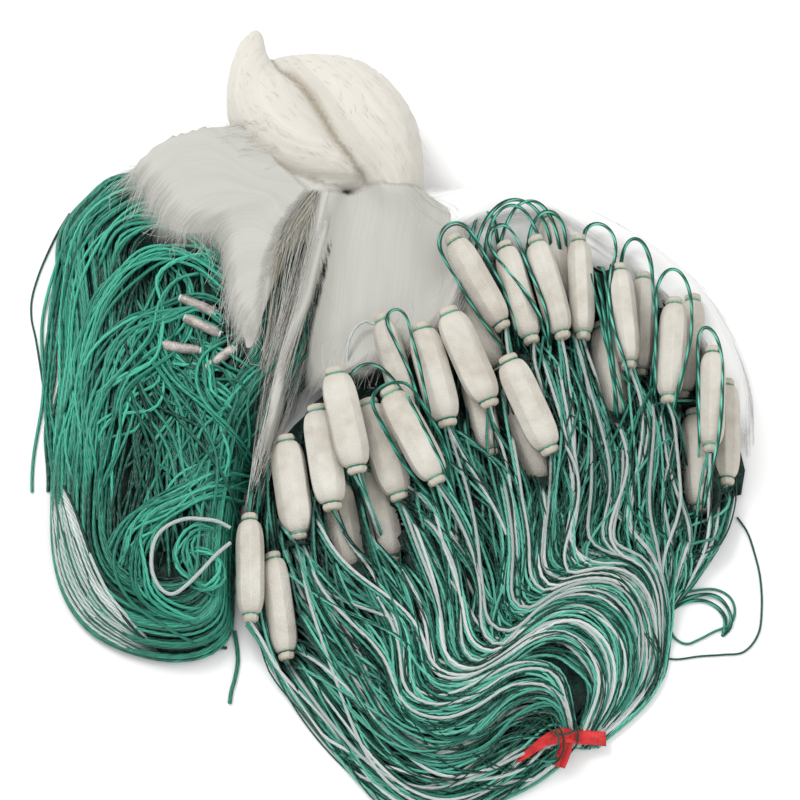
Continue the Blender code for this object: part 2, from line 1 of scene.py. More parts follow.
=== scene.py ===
"""A gill net bundled for stowing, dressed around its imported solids.

The knotted netting lies at the back, the hank of lead line at the left and the tied hank of
float line at the right. Tables are in millimetres from the layout's own zero; place() turns them
into the frame's metres. +Y runs towards the knot and +Z up from the surface.
"""

import math

import bmesh
import bpy
import numpy as np
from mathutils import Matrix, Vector
from mathutils.bvhtree import BVHTree


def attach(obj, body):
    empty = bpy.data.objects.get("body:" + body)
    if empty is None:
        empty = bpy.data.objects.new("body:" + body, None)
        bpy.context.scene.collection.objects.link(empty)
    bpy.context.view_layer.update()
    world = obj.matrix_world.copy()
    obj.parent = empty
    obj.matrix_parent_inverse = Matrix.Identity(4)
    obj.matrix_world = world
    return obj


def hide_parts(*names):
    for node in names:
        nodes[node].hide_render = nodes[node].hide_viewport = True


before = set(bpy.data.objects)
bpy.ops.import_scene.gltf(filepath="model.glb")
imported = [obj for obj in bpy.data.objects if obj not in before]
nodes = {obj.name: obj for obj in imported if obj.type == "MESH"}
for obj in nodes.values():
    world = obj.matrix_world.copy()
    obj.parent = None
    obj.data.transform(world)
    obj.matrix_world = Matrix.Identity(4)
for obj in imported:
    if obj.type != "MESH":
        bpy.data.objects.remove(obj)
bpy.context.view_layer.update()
scene = bpy.context.scene

# ---------------------------------------------------------------- the view
# The net is seen from high in front, through a long lens that takes in all of it and a little of
# the surface round it.

MM = 0.001
CENTRE = (-0.38, -12.64)  # the frame's zero, in the layout's millimetres
VIEW_ELEVATION = 65.0  # degrees
VIEW_DISTANCE = 3.5  # metres
VIEW_WIDTH = 0.496  # metres across the view, at the net
VIEW_FARTHEST = 50.0  # metres
SENSOR = 36.0  # millimetres across


def place(points):
    """Layout millimetres to the frame's metres."""
    points = np.array(points, dtype=float)
    points[:, :2] -= CENTRE
    points[:, :3] *= MM
    return points


def show(name, data):
    """An object at the frame's zero."""
    made = bpy.data.objects.new(name, data)
    scene.collection.objects.link(made)
    return made


lens = bpy.data.cameras.new("view")
lens.sensor_width = SENSOR
lens.lens = SENSOR * VIEW_DISTANCE / VIEW_WIDTH
lens.clip_end = VIEW_FARTHEST
camera = show("view", lens)
tilt = math.radians(90.0 - VIEW_ELEVATION)
target = place([(0.0, 0.0, 0.0)])[0]
camera.location = Vector(target) + Vector((0.0, -math.sin(tilt), math.cos(tilt))) * VIEW_DISTANCE
camera.rotation_euler = (tilt, 0.0, 0.0)
scene.camera = camera

# ---------------------------------------------------------------- free cords
# A loop of white laid cord lies on the lead line, two thin dark twines and a light curl stray out
# over the surface, and one green end hangs from the gap between the hanks.


class Wire:
    """An output of a node, on which arithmetic adds Math nodes."""

    def __init__(self, tree, node, output=0):
        self.tree = tree
        self.node = node
        self.socket = node.outputs[output]

    def out(self, output):
        """Another output of the same node."""
        return Wire(self.tree, self.node, output)

    def math(self, operation, *values):
        """A Math node on this wire, or on the values given."""
        return self.tree.node("ShaderNodeMath", {"operation": operation}, dict(enumerate(values)))

    def __add__(self, other):
        return self.math("ADD", self, other)

    def __radd__(self, other):
        return self.math("ADD", other, self)

    def __sub__(self, other):
        return self.math("SUBTRACT", self, other)

    def __rsub__(self, other):
        return self.math("SUBTRACT", other, self)

    def __mul__(self, other):
        return self.math("MULTIPLY", self, other)

    def __rmul__(self, other):
        return self.math("MULTIPLY", other, self)


class Tree:
    """A node tree under construction."""

    def __init__(self, tree):
        self.tree = tree

    def node(self, kind, settings=None, sockets=None, output=0):
        """Adds a node: its settings first, then the values or wires of its sockets."""
        made = self.tree.nodes.new(kind)
        for name, value in (settings or {}).items():
            if name == "stops":
                ramp = made.color_ramp
                while len(ramp.elements) < len(value):
                    ramp.elements.new(1.0)
                for stop, (position, colour) in zip(ramp.elements, value):
                    stop.position = position
                    stop.color = (*colour, 1.0)
            else:
                setattr(made, name, value)
        self.plug(made, sockets or {})
        return Wire(self, made, output)

    def plug(self, node, sockets):
        """Sets or links the sockets of a node."""
        for name, value in sockets.items():
            if isinstance(value, Wire):
                self.tree.links.new(value.socket, node.inputs[name])
            elif value is not None:
                node.inputs[name].default_value = value

    def blend(self, factor, first, second, mode="MIX"):
        """A colour between two colours."""
        pair = {0: factor, 6: colour4(first), 7: colour4(second)}
        return self.node("ShaderNodeMix", {"data_type": "RGBA", "blend_type": mode}, pair, 2)


def colour4(colour):
    """A colour with its alpha, or the wire that carries one."""
    return colour if isinstance(colour, Wire) else (*colour, 1.0)


class Finish(Tree):
    """A material under construction, on one Principled shader."""

    def __init__(self, name, **plain):
        self.material = bpy.data.materials.new(name)
        self.material.use_nodes = True
        super().__init__(self.material.node_tree)
        self.shader = self.tree.nodes["Principled BSDF"]
        for socket, value in plain.items():
            socket = socket.replace("_", " ").title().replace("Ior", "IOR")
            self.shader.inputs[socket].default_value = value

    def coat(self, sockets):
        """Links what changes over the surface into the shader, and gives the material."""
        self.plug(self.shader, sockets)
        return self.material

    def place(self):
        """The piece's own coordinates, in metres."""
        return self.node("ShaderNodeTexCoord").out("Object")

    def own(self, name, output="Fac"):
        """An attribute that the piece carries."""
        kind = {"attribute_type": "GEOMETRY", "attribute_name": name}
        return self.node("ShaderNodeAttribute", kind).out(output)

    def noise(self, scale, detail=2.0, vector=None, roughness=0.5):
        """Soft noise from 0 to 1."""
        sockets = {"Vector": vector or self.place(), "Scale": scale, "Detail": detail}
        sockets["Roughness"] = roughness
        return self.node("ShaderNodeTexNoise", None, sockets)

    def stretched(self, vector, scale):
        """A vector scaled along each of its ways."""
        return self.node("ShaderNodeMapping", None, {"Vector": vector, "Scale": scale})

    def eased(self, value, low, high, least=0.0, most=1.0):
        """A value that turns softly from least at low to most at high."""
        sockets = {"Value": value, 1: low, 2: high, 3: least, 4: most}
        return self.node("ShaderNodeMapRange", {"interpolation_type": "SMOOTHSTEP"}, sockets)

    def ramp(self, factor, *stops):
        """A colour read from stops of (position, colour)."""
        return self.node("ShaderNodeValToRGB", {"stops": stops}, {"Fac": factor})

    def bump(self, height, distance, strength=1.0, under=None):
        """A normal from a height in metres times distance."""
        sockets = {"Height": height, "Distance": distance, "Strength": strength, "Normal": under}
        return self.node("ShaderNodeBump", None, sockets)


def line_finish(
    name, dark, light, roughness, lay, strands=3.0, groove_shade_and_thread=(0.60, 0.65, 0.64), fleck=0.25
):
    """Twisted line: strands wind round it once in each length of lay, in metres, with a tone of its
    own for each line and fine fuzz. The grooves between strands are painted darker as shade, in the
    colour of the dark wound thread on two-tone twine, and a line is painted darker as shade where
    it lies deep."""
    finish = Finish(name, roughness=roughness, specular_ior_level=0.3)
    parts = finish.node("ShaderNodeSeparateXYZ", None, {0: finish.own("round", "Vector")})
    turn = parts.math("ARCTAN2", parts.out("Y"), parts.out("X"))
    twist = turn * strands + finish.own("along") * (2 * math.pi / lay)
    ridge = twist.math("SINE", twist) * 0.5 + 0.5
    fuzz = finish.noise(2600.0, 3.0)
    shade = finish.own("tone") * (1.0 - fleck) + finish.noise(60.0, 3.0) * fleck
    colour = finish.ramp(shade, (0.08, dark), (0.9, light))
    # Painted shade in the grooves between strands; on the two-tone twine the groove colour is its
    # dark wound thread.
    twisted = finish.blend(ridge, groove_shade_and_thread, (1.0, 1.0, 1.0))
    colour = finish.blend(1.0, colour, twisted, "MULTIPLY")
    # Painted shade: a line that lies deep in its hank is darkened towards near black.
    deep = finish.blend(finish.own("open"), (0.05, 0.09, 0.085), (1.0, 1.0, 1.0))
    return finish.coat({
        "Base Color": finish.blend(1.0, colour, deep, "MULTIPLY"),
        "Roughness": fuzz * 0.25 + (roughness - 0.12),
        "Normal": finish.bump(ridge + fuzz * 0.25, 0.00022),
    })


def through(points, steps):
    """A smooth curve through a table's rows, with as many points from each row to the next."""
    table = np.array(points, dtype=float)
    table = np.concatenate([2 * table[:1] - table[1:2], table, 2 * table[-1:] - table[-2:-1]])
    share = np.linspace(0.0, 1.0, steps, endpoint=False)[:, None]
    runs = []
    for a, b, c, d in zip(table, table[1:], table[2:], table[3:]):
        cubic = -a + 3 * b - 3 * c + d
        square = 2 * a - 5 * b + 4 * c - d
        runs.append(0.5 * (2 * b + (c - a) * share + square * share**2 + cubic * share**3))
    return np.vstack([*runs, table[-2:-1]])


def travelled(line):
    """How far along a line each of its points is."""
    steps = np.linalg.norm(np.diff(line[:, :3], axis=0), axis=1)
    return np.concatenate([[0.0], np.cumsum(steps)])


def shares_along(line):
    """Shares from 0 to 1, one for each point of a line."""
    return np.linspace(0.0, 1.0, len(line))


def spaced(line, count):
    """The same line with so many evenly spaced points."""
    along = travelled(line)
    wanted = np.linspace(0.0, along[-1], count)
    return np.column_stack([np.interp(wanted, along, column) for column in line.T])


def smooth_run(points, count):
    """Evenly spaced points on a smooth curve through a table's rows."""
    return spaced(through(points, 16), count)


def cord_tree():
    """Geometry nodes that turn lines into round cords."""
    group = bpy.data.node_groups.new("round_cord", "GeometryNodeTree")
    for name, way, kind in (
        ("Lines", "INPUT", "Geometry"), ("Radius", "INPUT", "Float"), ("Sides", "INPUT", "Int"),
        ("Finish", "INPUT", "Material"), ("Cords", "OUTPUT", "Geometry"),
    ):
        group.interface.new_socket(name=name, in_out=way, socket_type=f"NodeSocket{kind}")
    tree = Tree(group)
    given = tree.node("NodeGroupInput")
    named = {"data_type": "FLOAT"}
    girth = tree.node("GeometryNodeInputNamedAttribute", named, {"Name": "girth"})
    curves = tree.node("GeometryNodeMeshToCurve", None, {"Mesh": given.out("Lines")})
    sized = tree.node("GeometryNodeSetCurveRadius", None, {"Curve": curves, "Radius": girth})
    circle = tree.node(
        "GeometryNodeCurvePrimitiveCircle",
        {"mode": "RADIUS"},
        {"Resolution": given.out("Sides"), "Radius": given.out("Radius")},
    )
    around = tree.node("GeometryNodeSplineParameter").out("Factor") * (2 * math.pi)
    sockets = {"X": around.math("COSINE", around), "Y": around.math("SINE", around)}
    spot = tree.node("ShaderNodeCombineXYZ", None, sockets)
    profile = tree.node(
        "GeometryNodeStoreNamedAttribute",
        {"data_type": "FLOAT_VECTOR", "domain": "POINT"},
        {"Geometry": circle, "Name": "round", "Value": spot},
    )
    sockets = {"Curve": sized, "Profile Curve": profile, "Fill Caps": True}
    tubes = tree.node("GeometryNodeCurveToMesh", None, sockets)
    smooth = tree.node("GeometryNodeSetShadeSmooth", None, {0: tubes})
    real = tree.node("GeometryNodeRealizeInstances", None, {0: smooth})
    sockets = {"Geometry": real, "Material": given.out("Finish")}
    finished = tree.node("GeometryNodeSetMaterial", None, sockets)
    end = group.nodes.new("NodeGroupOutput")
    tree.plug(end, {"Cords": finished})
    return group


ROUND_CORD = cord_tree()


def made_plain(holder):
    """The mesh that an object's modifiers make; the object itself goes."""
    graph = bpy.context.evaluated_depsgraph_get()
    result = bpy.data.meshes.new_from_object(holder.evaluated_get(graph), depsgraph=graph)
    holder.modifiers.clear()
    bpy.data.objects.remove(holder)
    return result


def made_by(tree, name, mesh, **values):
    """The plain mesh that a geometry tree makes from a start mesh."""
    holder = show(f"{name}_lines", mesh)
    change = holder.modifiers.new("make", "NODES")
    change.node_group = tree
    for item in tree.interface.items_tree:
        if item.in_out == "INPUT" and item.name.lower() in values:
            change[item.identifier] = values[item.name.lower()]
    result = made_plain(holder)
    result.name = name
    return result


def store(mesh, label, values):
    """Keeps a number, or a vector, for each vertex of a mesh."""
    vector = values.shape[-1:] == (3,)
    layer = mesh.attributes.new(label, "FLOAT_VECTOR" if vector else "FLOAT", "POINT")
    layer.data.foreach_set("vector" if vector else "value", values.astype(np.float32).ravel())


def cover(mesh, finish):
    """Gives a mesh its one finish and smooth faces."""
    mesh.shade_smooth()
    mesh.materials.clear()
    mesh.materials.append(finish)


def dress(piece, replaced=None):
    """Puts a piece on the one body, in place of a solid where it has one."""
    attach(piece, "root")
    if replaced:
        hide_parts(replaced)


def cords(name, lines, radius, sides, finish, rng):
    """One piece of round cords: rows of x, y, z in metres, then girth and the share of light
    painted on them, low where they are painted dark as shade.
    """
    mesh = bpy.data.meshes.new(f"{name}_lines")
    values = {"along": [], "girth": [], "open": [], "tone": []}
    edges = []
    start = 0
    for line in lines:
        count = len(line)
        edges += [(start + step, start + step + 1) for step in range(count - 1)]
        values["along"].append(travelled(line))
        values["girth"].append(line[:, 3] if line.shape[1] > 3 else np.ones(count))
        values["open"].append(line[:, 4] if line.shape[1] > 4 else np.ones(count))
        values["tone"].append(np.full(count, rng.random()))
        start += count
    mesh.from_pydata(np.vstack([line[:, :3] for line in lines]).tolist(), edges, [])
    for label, column in values.items():
        store(mesh, label, np.concatenate(column))
    result = made_by(ROUND_CORD, name, mesh, radius=radius, sides=sides, finish=finish)
    piece = show(name, result)
    dress(piece)
    return piece


def length_of(line):
    """The length of a line of points."""
    return float(np.linalg.norm(np.diff(line[:, :3], axis=0), axis=1).sum())


white_laid = line_finish(
    "white_laid_cord", (0.36, 0.41, 0.39), (0.66, 0.69, 0.67), 0.55, 0.006,
    groove_shade_and_thread=(0.80, 0.84, 0.83),
)
green_line = line_finish("green_lead_line", (0.003, 0.10, 0.065), (0.075, 0.52, 0.36), 0.4, 0.007)
mint_twine = line_finish("mint_float_twine", (0.01, 0.17, 0.12), (0.18, 0.62, 0.48), 0.45, 0.005)
dark_twine = line_finish("dark_green_twine", (0.002, 0.03, 0.02), (0.008, 0.12, 0.075), 0.4, 0.003)
FREE_CORDS = {
    # name: route of (x, y, z), radius, finish, slot, stiffness, far end
    "white_cord_loop": (
        ((-103, -101, 33), (-111, -98, 36), (-120, -97, 37), (-130, -97, 37.5),
         (-140, -101, 37.5), (-147, -108, 37.5), (-150, -118, 37.5), (-150, -130, 37.5),
         (-147, -139, 37.5), (-142, -145, 37), (-136, -146, 37), (-128, -140, 37.5),
         (-119, -130, 37.5), (-111, -120, 36.5), (-103, -111, 33)),
        1.25, white_laid, "white_cord", "limp", "object"),
    "stray_loop_left": (
        ((-208, 129, 1.1), (-214, 118, 0.8), (-220, 104, 0.8), (-226, 87, 0.8),
         (-230, 70, 0.8), (-230, 56, 0.8), (-227, 42, 0.8), (-224, 25, 0.8), (-221, 6, 0.8),
         (-218, -14, 0.8), (-216, -30, 1.1)),
        0.65, dark_twine, "dark_twine", "stiff", "object"),
    "stray_loop_right": (
        ((207, -80, 1.1), (213, -90, 0.8), (217, -104, 0.8), (220, -120, 0.8),
         (220.5, -139, 0.8), (218, -157, 0.8), (209, -169, 0.8), (196, -171, 0.8),
         (182, -172, 0.8), (167, -174, 0.8), (154.2, -171.6, 1.1)),
        0.65, dark_twine, "dark_twine", "stiff", "object"),
    "stray_curl_right": (
        ((159.55, -141, 1.2), (167, -133.5, 1.0), (179, -129, 1.0), (192, -128, 1.0),
         (201, -133, 1.0), (204, -142, 1.0), (201, -151, 1.0), (191, -156, 1.0),
         (182, -161, 1.0), (174, -164, 1.0), (167, -160, 1.0), (164, -152, 1.0)),
        0.8, mint_twine, "float_line", "medium", "bare"),
    "loose_end_green": (
        ((-100.65, -156, 2.0), (-98.8, -168, 1.5), (-98.5, -177, 1.4), (-100, -187, 1.4),
         (-102, -195, 1.4), (-103, -203, 1.4)),
        1.3, green_line, "lead_line", "limp", "bare"),
}
CORD_POINTS = 90
CORD_SIDES = 8
ROUTE_POINTS = 60

cord_rng = np.random.default_rng(11)
for name, (route, radius, finish, slot, stiffness, far_end) in FREE_CORDS.items():
    line = place(smooth_run(route, CORD_POINTS))
    piece = cords(f"{name}_laid", [line], radius * MM, CORD_SIDES, finish, cord_rng)
    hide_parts(name)
    2 * radius * MM

# ---------------------------------------------------------------- lead line hank
# Green lead line wound in long oval turns, with looser turns thrown across them. The turns pile
# up on each other, painted dark as shade where they run deep.

GRID = 1.5 * MM
GRID_MARGIN = 0.03  # how far the grid runs on past the solids
ABOVE_ALL = 0.3  # height from which the solids are looked down on
LAST_CELL = 1.001  # taken from a grid's size, keeps a reading inside its last cell
WELD = 0.00002  # corners of a solid's triangles closer than this are one
UNDER_LOWEST = 0.4 * MM  # the deep turns stay this far off the surface


def between(grid, rows, columns):
    """What a grid holds between its points."""
    row, column = rows.astype(int), columns.astype(int)
    down, side = rows - row, columns - column
    if grid.ndim == 3:
        down, side = down[:, None], side[:, None]
    near = grid[row, column] * (1 - side) + grid[row, column + 1] * side
    far = grid[row + 1, column] * (1 - side) + grid[row + 1, column + 1] * side
    return near * (1 - down) + far * down


class Top:
    """The height of the upper surface of some solids, read on a fine grid."""

    def __init__(self, *names):
        corners, faces = [], []
        for name in names:
            mesh = nodes[name].data
            faces += [[len(corners) + spot for spot in face.vertices] for face in mesh.polygons]
            corners += [tuple(vertex.co) for vertex in mesh.vertices]
        tree = BVHTree.FromPolygons(corners, faces)
        self.low = np.min(corners, axis=0)[:2] - GRID_MARGIN
        high = np.max(corners, axis=0)[:2] + GRID_MARGIN
        counts = np.ceil((high - self.low) / GRID).astype(int) + 1
        self.heights = np.zeros(counts)
        for column in range(counts[0]):
            for row in range(counts[1]):
                spot = self.low + GRID * np.array([column, row])
                hit = tree.ray_cast(Vector((*spot, ABOVE_ALL)), Vector((0.0, 0.0, -1.0)))[0]
                if hit:
                    self.heights[column, row] = hit.z

    def at(self, spots):
        """Heights under rows of (x, y) in metres."""
        reach = (spots[:, :2] - self.low) / GRID
        columns, rows = np.clip(reach, 0.0, np.array(self.heights.shape) - LAST_CELL).T
        return between(self.heights.T, rows, columns)


def waves(rng, share, amount, slowest=0.6, fastest=3.5, parts=4):
    """A soft wander along a line, for shares from 0 to 1."""
    total = np.zeros_like(share)
    for _ in range(parts):
        pace = rng.uniform(slowest, fastest)
        total += np.sin(2 * math.pi * (pace * share + rng.random())) / (0.6 + pace)
    return total * amount


def laid(spots, top, lift, sag=0.00006, rounds=14):
    """A line laid on a surface: it rests on what is high and spans what is low."""
    rest = top.at(spots) + lift
    height = rest.copy()
    for _ in range(rounds):
        height[1:-1] = np.maximum(rest[1:-1], 0.5 * (height[:-2] + height[2:]) - sag)
    smooth = height.copy()
    smooth[1:-1] = 0.25 * height[:-2] + 0.5 * height[1:-1] + 0.25 * height[2:]
    return np.column_stack([spots[:, :2], smooth])


def respaced(line, spacing):
    """The same line with points a spacing apart."""
    return spaced(line, max(4, int(travelled(line)[-1] / spacing) + 1))


def level(spots):
    """Rows of (x, y) with a height of 0."""
    return np.column_stack([spots, np.zeros(len(spots))])


def ahead_of(path):
    """The direction of a path at each of its points."""
    ahead = np.gradient(path, axis=0)
    return ahead / np.maximum(np.linalg.norm(ahead, axis=1), 1e-6)[:, None]


def shifted(spots, off):
    """The same way, moved aside by some millimetres."""
    ahead = ahead_of(spots[:, :2])
    moved = spots.copy()
    moved[:, 0] -= ahead[:, 1] * off
    moved[:, 1] += ahead[:, 0] * off
    return moved


def near_ends(line, reach):
    """How near each point of a line is to its ends: 1 at them, 0 from the reach-th point on."""
    steps = np.arange(len(line))
    return np.clip(1.0 - np.minimum(steps, steps[::-1]) / reach, 0.0, 1.0)


def eased(share):
    """A share held to 0 and 1, and softened near them."""
    share = np.clip(share, 0.0, 1.0)
    return share * share * (3.0 - 2.0 * share)


def welded(node):
    """A copy of a solid's mesh, and its shape with the triangles joined, ready to change."""
    mesh = nodes[node].data.copy()
    shape = bmesh.new()
    shape.from_mesh(mesh)
    bmesh.ops.remove_doubles(shape, verts=shape.verts, dist=WELD)
    return mesh, shape


def underlayer(name, node, inset, finish):
    """The deep turns of a hank: its solid drawn in a little, which shows only between lines, in a
    finish painted dark as shade.
    """
    mesh, shape = welded(node)
    shape.normal_update()
    for vertex in shape.verts:
        vertex.co -= vertex.normal * inset
        vertex.co.z = max(vertex.co.z, UNDER_LOWEST)
    shape.to_mesh(mesh)
    shape.free()
    cover(mesh, finish)
    dress(show(name, mesh), node)


def shaded_deep_finish(name, dark, light):
    """Line seen deep in a hank, in painted shade: dark streaks of it."""
    finish = Finish(name, roughness=0.7)
    grain = finish.noise(380.0, 4.0)
    streak = finish.noise(95.0, 3.0)
    colour = finish.ramp(grain * 0.5 + streak * 0.5, (0.42, dark), (0.62, light))
    return finish.coat({"Base Color": colour, "Normal": finish.bump(grain, 0.002)})


def painted_light_by_depth(line, top, heights):
    """The share of light painted on a line for how deep it lies in the hank: 0, painted dark as
    shade, up to the lower height over the solid, and 1 from the upper one."""
    low, high = heights[0] * MM, heights[1] * MM
    return eased((line[:, 2] - top.at(line) - low) / (high - low))


LEAD_RIM = (
    # x, y round the hank from under the netting, anticlockwise
    (-122, 146), (-152, 154), (-182, 153), (-200, 136), (-213, 118), (-216, 98), (-213, 74),
    (-208, 50), (-206, 28), (-210, 2), (-214, -28), (-214, -84), (-211, -114), (-203, -138),
    (-189, -157), (-168, -170), (-143, -177), (-122, -176), (-108, -168), (-101.5, -154),
    (-101.5, -115), (-98, -76), (-90, -34), (-75, -12), (-57, 8), (-43, 28), (-41, 60), (-48, 92),
    (-66, 118), (-92, 135), (-119, 146),
)
LEAD_RIM_POINTS = 150
LEAD_CORE = ((-132, 72), (-144, -105))  # line that the turns close in on
LEAD_TURNS = 74
LEAD_RADIUS = 1.1
LEAD_GIRTHS = (0.45, 0.7, 0.95, 1.1)  # the turns' thickness, as shares of the radius
LEAD_SPACING = 5.5
LEAD_WAVER = 0.35  # how far a line rises and dips on its way
LEAD_END = 5.0  # points over which an end goes down
LEAD_INSET = 3.6  # how far the deep turns are drawn in
LEAD_PAINTED_SHADE_HEIGHTS = (-1.5, 3.0)  # heights over the solid from which a line is painted dark as shade, and fully lit
LEAD_SHADED = (-112.0, -80.0)  # across this, the line runs under the netting and falls into shade
LEAD_SHADE = (1.0, 0.45)
LEAD_DEPTHS = (0.012, 0.58)  # shares of the way in from the rim: the first turn, and all the rest
LEAD_STRAY = 0.04  # how far a turn strays, as a share of the way in
LEAD_OUTERMOST = 0.008  # the least share of the way in
LEAD_LIFTS = (-3.0, 1.3)  # heights of the turns over the solid; the inner ones keep lower
LEAD_SUNK = 4.5  # how far the ends of a thrown line go down among the turns
LEAD_THICKEST = 1.12
LEAD_THROWN = (
    # route of (x, y), how many lines, how far they spread, lift over the turns, least girth
    (((-208, -62), (-211, 0), (-210, 54), (-198, 95), (-177, 119), (-155, 126), (-133, 112),
      (-115, 92)), 14, 7.0, 1.0, 0.7),
    (((-198, -69), (-199, -7), (-190, 41), (-173, 68), (-149, 85), (-124, 80), (-105, 61)),
     11, 7.0, 2.0, 0.7),
    (((-192, -82), (-188, -28), (-179, 10), (-161, 34), (-144, 44), (-124, 48), (-104, 34)),
     9, 6.0, 2.5, 0.7),
    (((-184, -96), (-181, -55), (-171, -14), (-155, 7), (-140, 20), (-131, 36), (-132, 62),
      (-143, 80)), 5, 6.0, 3.0, 0.8),
    (((-186, 70), (-172, 96), (-150, 104), (-128, 98), (-113, 78), (-110, 58)), 6, 5.0, 2.5, 0.8),
    (((-179, 54), (-161, 24), (-136, 0), (-115, -21), (-96, -48)), 6, 12.0, 0.0, 0.4),
    (((-192, -62), (-174, -34), (-155, -14), (-140, 7), (-124, 34)), 5, 12.0, 0.2, 0.4),
    (((-118, 40), (-121, 6), (-116, -14), (-100, -30), (-88, -38)), 7, 5.0, 2.0, 0.7),
    (((-150, 24), (-120, 8), (-98, -8), (-86, -30)), 8, 9.0, 1.0, 0.5),
    (((-88, -44), (-112, -62), (-142, -86), (-163, -104), (-172, -128)), 16, 7.0, 1.2, 0.6),
    (((-86, -62), (-120, -76), (-150, -92), (-160, -116), (-155, -146), (-130, -160),
      (-108, -156)), 10, 6.0, 1.4, 0.6),
    (((-100, -118), (-112, -104), (-126, -106), (-132, -120), (-124, -134), (-110, -138),
      (-104, -128)), 7, 5.0, 1.6, 0.6),
    (((-132, -132), (-120, -142), (-108, -136), (-110, -122), (-124, -116), (-138, -122)),
     5, 4.0, 2.2, 0.6),
    (((-60, 70), (-66, 20), (-84, -20), (-96, -50)), 12, 9.0, 0.2, 0.5),
    (((-44, 40), (-70, 30), (-100, 6), (-120, -30), (-128, -70)), 6, 12.0, 0.4, 0.4),
    (((-213, -62), (-209, -30), (-197, 6), (-182, 27), (-161, 42), (-138, 46)), 2, 1.5, 3.6, 1.0),
    (((-190, -30), (-185, -14), (-169, 6), (-153, 29), (-148, 52), (-138, 68), (-122, 74)),
     2, 1.5, 3.6, 1.0),
    (((-192, -16), (-178, -6), (-161, 4), (-150, 15), (-147, 45), (-151, 66), (-143, 77),
      (-122, 86), (-112, 81)), 2, 1.5, 4.0, 1.0),
    (((-107, 27), (-122, 15), (-126, -3), (-120, -21), (-105, -35), (-85, -51)),
     2, 1.5, 3.6, 1.0),
    (((-155, 34), (-143, 6), (-124, -16), (-101, -37), (-87, -49)), 2, 2.0, 3.4, 1.0),
    (((-169, 34), (-153, 11), (-138, -12), (-132, -35), (-134, -55)), 2, 1.5, 3.2, 0.9),
    (((-101, 6), (-101, -16), (-107, -35), (-118, -52)), 2, 2.0, 3.0, 0.9),
)
LEAD_MESH = 76  # thin lines that run along the deep middle and cross each other
LEAD_MESH_HALF = (44.0, 96.0)  # how far they reach, across the hank and along it
LEAD_MESH_WAYS = (1.1, 1.9, 1.9, 1.9)  # the ways they point, in turn, in radians
LEAD_MESH_BEND = 14.0
LEAD_MESH_MIDDLES = ((-28.0, -24.0), (14.0, 24.0))  # corners of where their middles lie
LEAD_MESH_GIRTHS = (0.4, 0.85)
LEAD_MESH_LIFTS = (-2.2, 2.6)
LEAD_MESH_SUNK = 3.0
LEAD_MESH_POINTS = 40
LEAD_PALE = ((-214.5, -56), (-214, -84), (-211, -114), (-203, -138), (-189, -157),
             (-168, -170), (-146, -176))  # slack bleached turns along the outer edge
LEAD_PALE_TURNS = 11
LEAD_PALE_STEP = 1.9  # from one pale turn to the next where they lie widest
LEAD_PALE_GIRTH = 0.9
LEAD_PALE_SUNK = 4.0


def lead_line(spots, lift, girth, sink=0.0, bright=1.0):
    """One line of the hank over layout points, with shade painted on it for its depth, under the
    netting and as far as bright dims it.
    """
    spots = place(respaced(level(spots), LEAD_SPACING))
    line = laid(spots, lead_top, (lift + LEAD_RADIUS * girth) * MM)
    line[:, 2] += waves(lead_rng, shares_along(line), LEAD_WAVER * MM, 1.0, 5.0)
    line[:, 2] -= near_ends(line, LEAD_END) * sink * MM
    line[:, 2] = np.maximum(line[:, 2], LEAD_RADIUS * girth * MM)
    # Painted shade: darker where the line lies deep in the hank and where it runs under the
    # netting.
    out = painted_light_by_depth(line, lead_top, LEAD_PAINTED_SHADE_HEIGHTS) * bright
    out *= np.interp(line[:, 0], place([(x, 0, 0) for x in LEAD_SHADED])[:, 0], LEAD_SHADE)
    return np.column_stack([line, np.full(len(line), girth), out])


bleached_line = line_finish(
    "bleached_lead_line", (0.50, 0.58, 0.55), (0.74, 0.78, 0.75), 0.45, 0.007
)
# Deep turns of the lead line, in painted shade.
shaded_deep_green = shaded_deep_finish("painted_shade_lead_line", (0.0006, 0.008, 0.005), (0.003, 0.045, 0.03))
underlayer("lead_line_deep_turns", "lead_line_hank", LEAD_INSET * MM, shaded_deep_green)
lead_top = Top("lead_line_hank")
lead_rng = np.random.default_rng(7)
rim = smooth_run(LEAD_RIM, LEAD_RIM_POINTS)
turn_share = shares_along(rim)
core_start, core_end = (np.array(point, dtype=float) for point in LEAD_CORE)
core_run = core_end - core_start
core_share = np.clip((rim - core_start) @ core_run / (core_run @ core_run), 0.0, 1.0)
inward = core_start + core_run * core_share[:, None] - rim
turns = []
for number in range(LEAD_TURNS):
    depth = LEAD_DEPTHS[0] + LEAD_DEPTHS[1] * (number / LEAD_TURNS) ** 1.2
    share = depth + waves(lead_rng, turn_share, LEAD_STRAY * min(1.0, depth * 5 + 0.2))
    spots = rim + inward * np.maximum(share, LEAD_OUTERMOST)[:, None]
    girth = lead_rng.choice(LEAD_GIRTHS)
    lift = lead_rng.uniform(LEAD_LIFTS[0], LEAD_LIFTS[1] - 2.4 * depth)
    turns.append(lead_line(spots, lift, girth))
cords("lead_line_turns", turns, LEAD_RADIUS * MM, 6, green_line, lead_rng)

